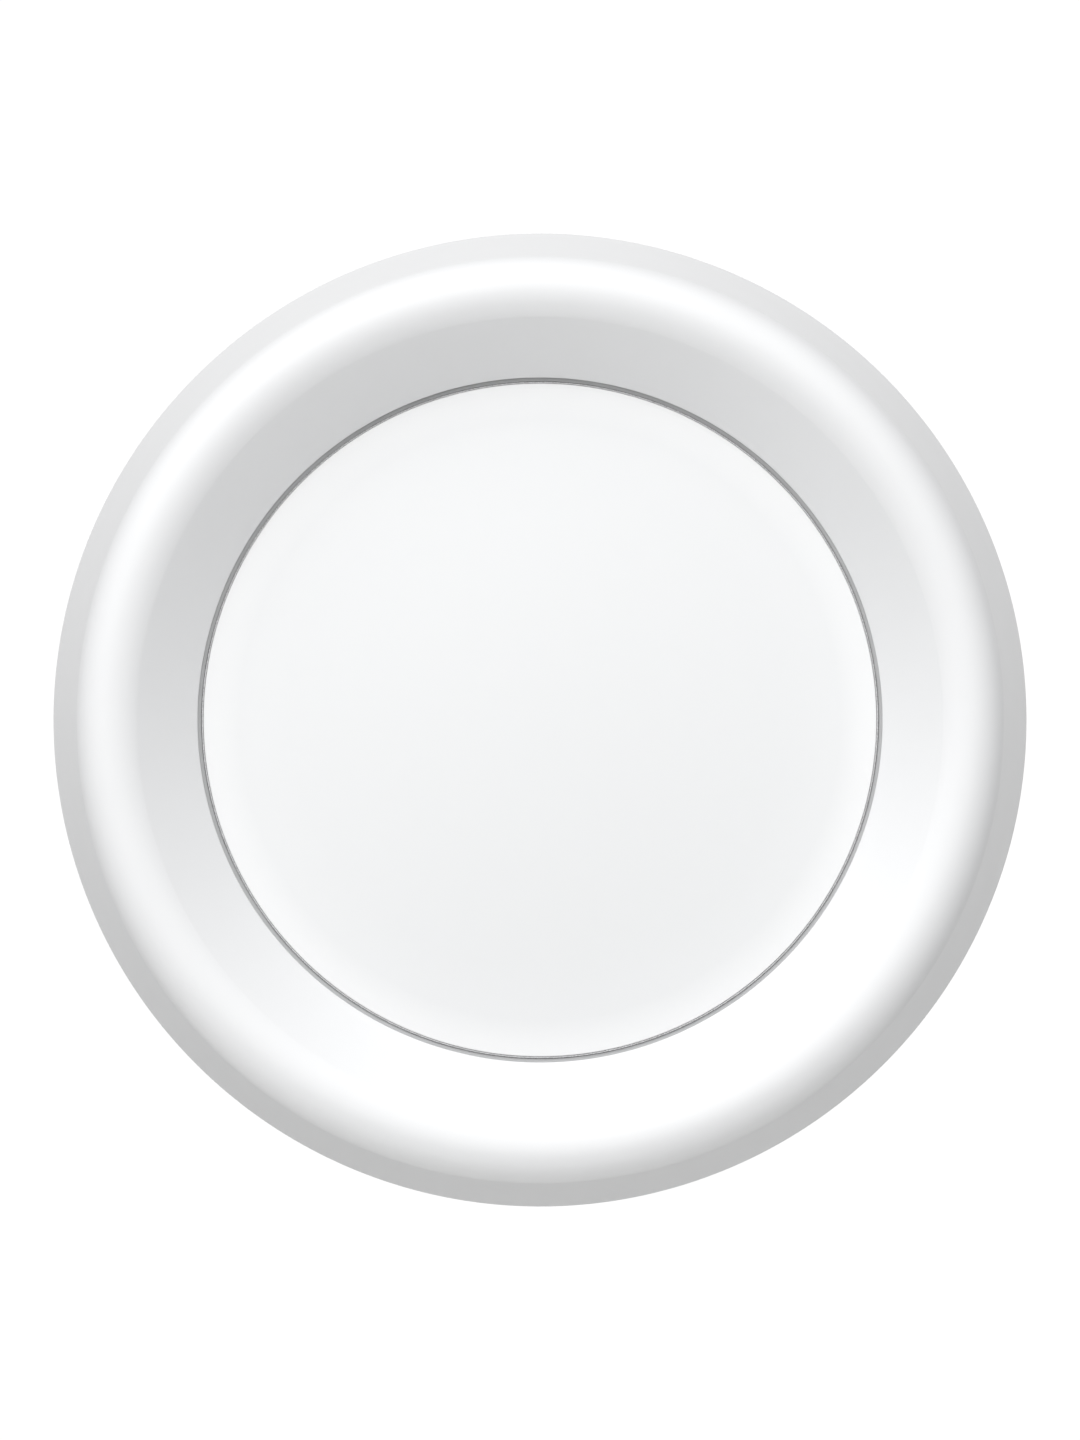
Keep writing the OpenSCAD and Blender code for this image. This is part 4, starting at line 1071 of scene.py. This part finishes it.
def build_chips():
    low = BOARD_Z
    for name, node, at, legs in (("processor_chip", "processor", (-14, 3.5), 14),
                                 ("memory_chip_body", "memory_chip", (-14, -5.8), 10)):
        corner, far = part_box(node)
        w, h = (far.x - corner.x) / MM, (far.z - corner.z) / MM
        high = levels(node)[1]
        shape = Shape()
        add_package(shape, *at, w, h, low, high, legs)
        mark = [(0.28, high - 0.03), (0.42, high - 0.03), (0.42, high + 0.004), (0.28, high + 0.004)]
        shape.lathe(mark, steps=24, look=2, centre=(at[0] - w / 2 + 1.3, at[1] + h / 2 - 0.9))
        shape.build(name, [black_plastic, solder, terminal_grey], "display_unit", [node])
    keep("shield_can", tin_plate, 0.08)
    power = Shape()
    z = BOARD_UNDER_Z
    power.box(COIL_X, COIL_Y, 4.4, 4.4, z - 0.35, z, 0.1, 0, 0.8)
    power.box(COIL_X, COIL_Y, 4.2, 4.2, z - 2, z - 1.6, 0.12, 0, 0.8)
    for i in range(5):
        power.matrix = Matrix.Translation((COIL_X, COIL_Y, z - 0.5 - 0.26 * i))
        power.tube([(x, y, 0) for x, y in rounded(3.5, 3.5, 1.2)], 0.13, 8, 4, closed=True)
    power.matrix = Matrix.Identity(4)
    power.box(COIL_X, COIL_Y, 3.2, 3.2, z - 1.7, z - 0.3, 0.1, 0, 1)
    can = [(0, z - 2.2), (1.55, z - 2.2), (1.7, z - 2.05), (1.7, z - 0.75), (1.6, z - 0.62), (1.7, z - 0.5),
           (1.7, z - 0.28), (0, z - 0.28)]
    power.lathe(can, steps=48, look=1, centre=(CAN_X, CAN_Y))
    power.box(CAN_X, CAN_Y, 3.6, 3.6, z - 0.3, z, 0.05, 0, 0.4)
    add_passive(power, -20.5, 4.5, z, -1, (3, 2, 1), True, 0)
    for x in (-12.5, 12.5):
        add_passive(power, x, 18.2, z, -1, (2.4, 1.6, 0.9), True, 2)
    looks = [black_plastic, tin_plate, part_tan, gold, copper_wire]
    power.build("power_parts_soldered", looks, "display_unit", ["power_parts"])


def build_buzzer():
    x, y = BUZZER_X, BUZZER_Y
    for name, node, r, look, slot in (("buzzer_plate_disc", "buzzer_plate", 6, brass, "buzzer_brass"),
                                      ("buzzer_ceramic_disc", "buzzer_disc", 4.4, ceramic, "buzzer_ceramic")):
        low, high = levels(node)
        shape = Shape()
        shape.prism(circle(r, x, y, 96), low, high, 0.04, steps=2)
        dot = [(0, low - 0.16), (0.28, low - 0.13), (0.46, low), (0.46, low + 0.02), (0, low + 0.02)]
        at = (x - 5.1, y) if node == "buzzer_plate" else (x - 2.6, y + 2)
        shape.lathe(dot, steps=20, look=1, centre=at)
        shape.build(name, [look, solder], "display_unit", [node])


LEAD_XS = (-12, -10.4)
LEAD_R, LEAD_START_Y, LEAD_END_Y, LEAD_DROOP = 0.4, -1.5, 5.0, 0.7


def build_battery():
    low, high = levels("battery")
    shape = Shape()
    shape.prism(rounded(36, 19.6, 1.8, 0, -12.2, 8), low, high, 1.15, steps=7)
    shape.box(0, -2.25, 33, 1.3, 11.5, 11.75, 0.08)
    shape.box(0, -3.3, 34.4, 2.6, low - 0.02, high + 0.02, 1.1, look=1, corner=1.2)
    shape.build("battery_pouch", [battery_foil, tape_amber], "display_unit", ["battery"])
    low, high = levels("battery_pad")
    pad = Shape()
    pad.prism(rounded(28, 14, 0.8, 0, -11.8), low, high, 0.05, steps=2)
    pad.build("battery_pad_foam", [pad_foam], "display_unit", ["battery_pad"])
    leads = Shape()
    start_z, end_z = 12.0, BOARD_UNDER_Z - 0.75
    for i, x in enumerate(LEAD_XS):
        path = []
        for k in range(25):
            t = k / 24
            droop = LEAD_DROOP * math.sin(math.pi * t)
            z = start_z + (end_z - start_z) * (1 - math.cos(math.pi * t)) / 2 - droop
            path.append((x, LEAD_START_Y + (LEAD_END_Y - LEAD_START_Y) * t, z))
        leads.tube(path, LEAD_R - 0.01, 14, i)
    plug_z = BOARD_UNDER_Z
    leads.box(-11.2, 6.4, 4.2, 2.8, plug_z - 1.5, plug_z, 0.12, 2)
    for x in LEAD_XS:
        leads.box(x, 7.2, 0.5, 0.9, plug_z - 1.53, plug_z - 1.3, 0.03, 3)
    looks = [lead_red, sealing_black, socket_ivory, solder]
    leads.build("battery_leads_wired", looks, "display_unit", ["battery_leads"])


# ------------------------------------------------------------------ display unit


def build_rear_cover():
    cuts = Shape()
    cuts.lathe([(31.2, 8), (31.6, 8), (31.6, 8.8), (31.2, 8.8)], steps=128)
    cuts.prism(rounded(30, 13, 1.2, 0, -9.5), 8, 8.85)
    for x, y in [(BUZZER_X, BUZZER_Y)] + circle(1.9, BUZZER_X, BUZZER_Y, 6):
        cuts.prism(circle(0.5, x, y, 20), 8, 10.4)
    cuts.prism([(-22, 19), (-19, 19), (-20.5, 21.6)], 8, 8.8)
    remade("rear_cover_moulded", "rear_cover", [shell_white], cuts, bevel_mm=0.14)
    label = Shape()
    label.prism(rounded(29.4, 12.4, 1.0, 0, -9.5), 8.72, 8.86, 0.03)
    label.build("rear_cover_label", [label_film], "display_unit")


def build_usb_port():
    low, high = levels("usb_port")
    shape = Shape()
    outer, inner = rounded(9, 3.2, 1.5, 0, USB_Y, 8), rounded(8.4, 2.6, 1.25, 0, USB_Y, 8)
    flip = inset(inner, -0.08)
    sections = ((outer, high), (inset(outer, 0.04), low + 0.03), (inset(outer, 0.12), low), (flip, low),
                (inner, low + 0.1), (inner, high - 0.4))
    shape.strips([[(x, y, z) for x, y in ring] for ring, z in sections], caps=False)
    shape.add([(x, y, high) for x, y in outer], [list(range(len(outer)))])
    shape.add([(x, y, high - 0.4) for x, y in inner], [list(range(len(inner)))[::-1]])
    shape.prism(rounded(6.7, 0.7, 0.3, 0, USB_Y), low + 0.5, high - 0.2, 0.1, look=1, steps=2)
    for i in range(12):
        for s in (-1, 1):
            shape.box(-2.75 + i * 0.5, USB_Y + s * 0.35, 0.26, 0.06, low + 0.7, low + 3.2, 0.01, 2)
    shape.build("usb_port_shell", [tin_plate, black_plastic, gold], "display_unit", ["usb_port"])


def build_flex():
    low, high = levels("display_flex")
    path = [(-18.6, low + 0.075), (-20.6, low + 0.075)] + arc((-20.6, low + 0.9), 0.825, 270, 180, 10)[1:]
    path += [(-21.425, high)]
    shape = Shape()
    shape.matrix = Matrix(((0, 0, 1, 0), (1, 0, 0, 0), (0, 1, 0, 0), (0, 0, 0, 1)))
    shape.prism(ribbon(path, 0.14), -4, 4, 0.03, steps=2)
    piece = shape.build("display_flex_film", [flex_amber], "front_carriage", ["display_flex"])
    piece.parent = None
    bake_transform(piece)


def build_flex_socket():
    extra = Shape()
    low, high = levels("flex_socket")
    extra.box(0, -15.9, 9.8, 0.9, high - 0.35, high + 0.05, 0.08, 1)
    for i in range(16):
        extra.box(-3.75 + 0.5 * i, -15.2, 0.2, 0.7, low, low + 0.12, 0.02, 2)
    remade("flex_socket_moulded", "flex_socket", [socket_ivory, black_plastic, solder], None, extra, 0.05)


def build_panel():
    low, high = levels("display_panel")
    shape = Shape()
    shape.prism(circle(23.2, steps=160), low, high - 0.22, 0.05, steps=2)
    shape.prism(circle(23.0, steps=160), high - 0.22, high, 0.08, look=1, steps=2)
    shape.build("display_panel_glass", [black_plastic, panel_glass], "front_carriage",
                ["display_panel"])


def build_encoder():
    low, high = levels("encoder_ring")
    holes = []
    for i in range(60):
        a = math.radians(i * 6)
        c, s = math.cos(a), math.sin(a)
        corner = rounded(1.4, 1.2, 0.2, steps=2)
        holes.append([((31.6 + u) * c - v * s, (31.6 + u) * s + v * c) for u, v in corner])
    shape = Shape()
    rings = [circle(33 - 0.02, steps=180), circle(30.6, steps=180)]
    for z in (low, high):
        shape.face(rings[0], [rings[1], *holes], z)
    for loop in [rings[0], rings[1], *holes]:
        shape.strips([[(x, y, z) for x, y in loop] for z in (low, high)], caps=False)
    shape.build("encoder_ring_slotted", [black_plastic], "ring", ["encoder_ring"])


build_ring()
build_lens()
build_gasket()
build_all_screws()
build_return_springs()
build_switch_dome()
build_latch_springs()
build_base_plate()
build_base_cover()
for side in (-1, 1):
    build_terminal_block(side)
for number in range(1, 7):
    build_clamp_spring(number)
    build_lever(number)
build_sockets()
build_level()
build_boards()
build_chips()
build_buzzer()
build_battery()
build_rear_cover()
build_usb_port()
build_flex()
build_flex_socket()
build_panel()
build_encoder()

for node, look, bevel_mm in (
    ("contact_bars", brass, 0.05), ("mid_frame", frame_grey, 0.12),
    ("climate_sensor", tin_plate, 0.06), ("ring_sensor", black_plastic, 0.05),
    ("switch_body", black_plastic, 0.1), ("switch_plunger", socket_ivory, 0.1),
    ("display_chassis", frame_grey, 0.12), ("backlight", light_sheet, 0.05),
    ("panel_holder", socket_ivory, 0.08), ("light_sensor", panel_glass, 0.05),
    ("ring_bearing", acetal, 0.08), ("retaining_ring", spring_steel, 0.06),
):
    keep(node, look, bevel_mm)

floor = bpy.data.meshes.new("floor")
corners = [(x * FLOOR_HALF, y * FLOOR_HALF, FLOOR_Z) for x, y in ((-1, -1), (1, -1), (1, 1), (-1, 1))]
floor.from_pydata(corners, [], [(0, 1, 2, 3)])
floor.materials.append(plastic("floor_pale", (0.8, 0.8, 0.79), roughness=0.8, grain_mm=20, spread=0.008))
link(bpy.data.objects.new("floor", floor))
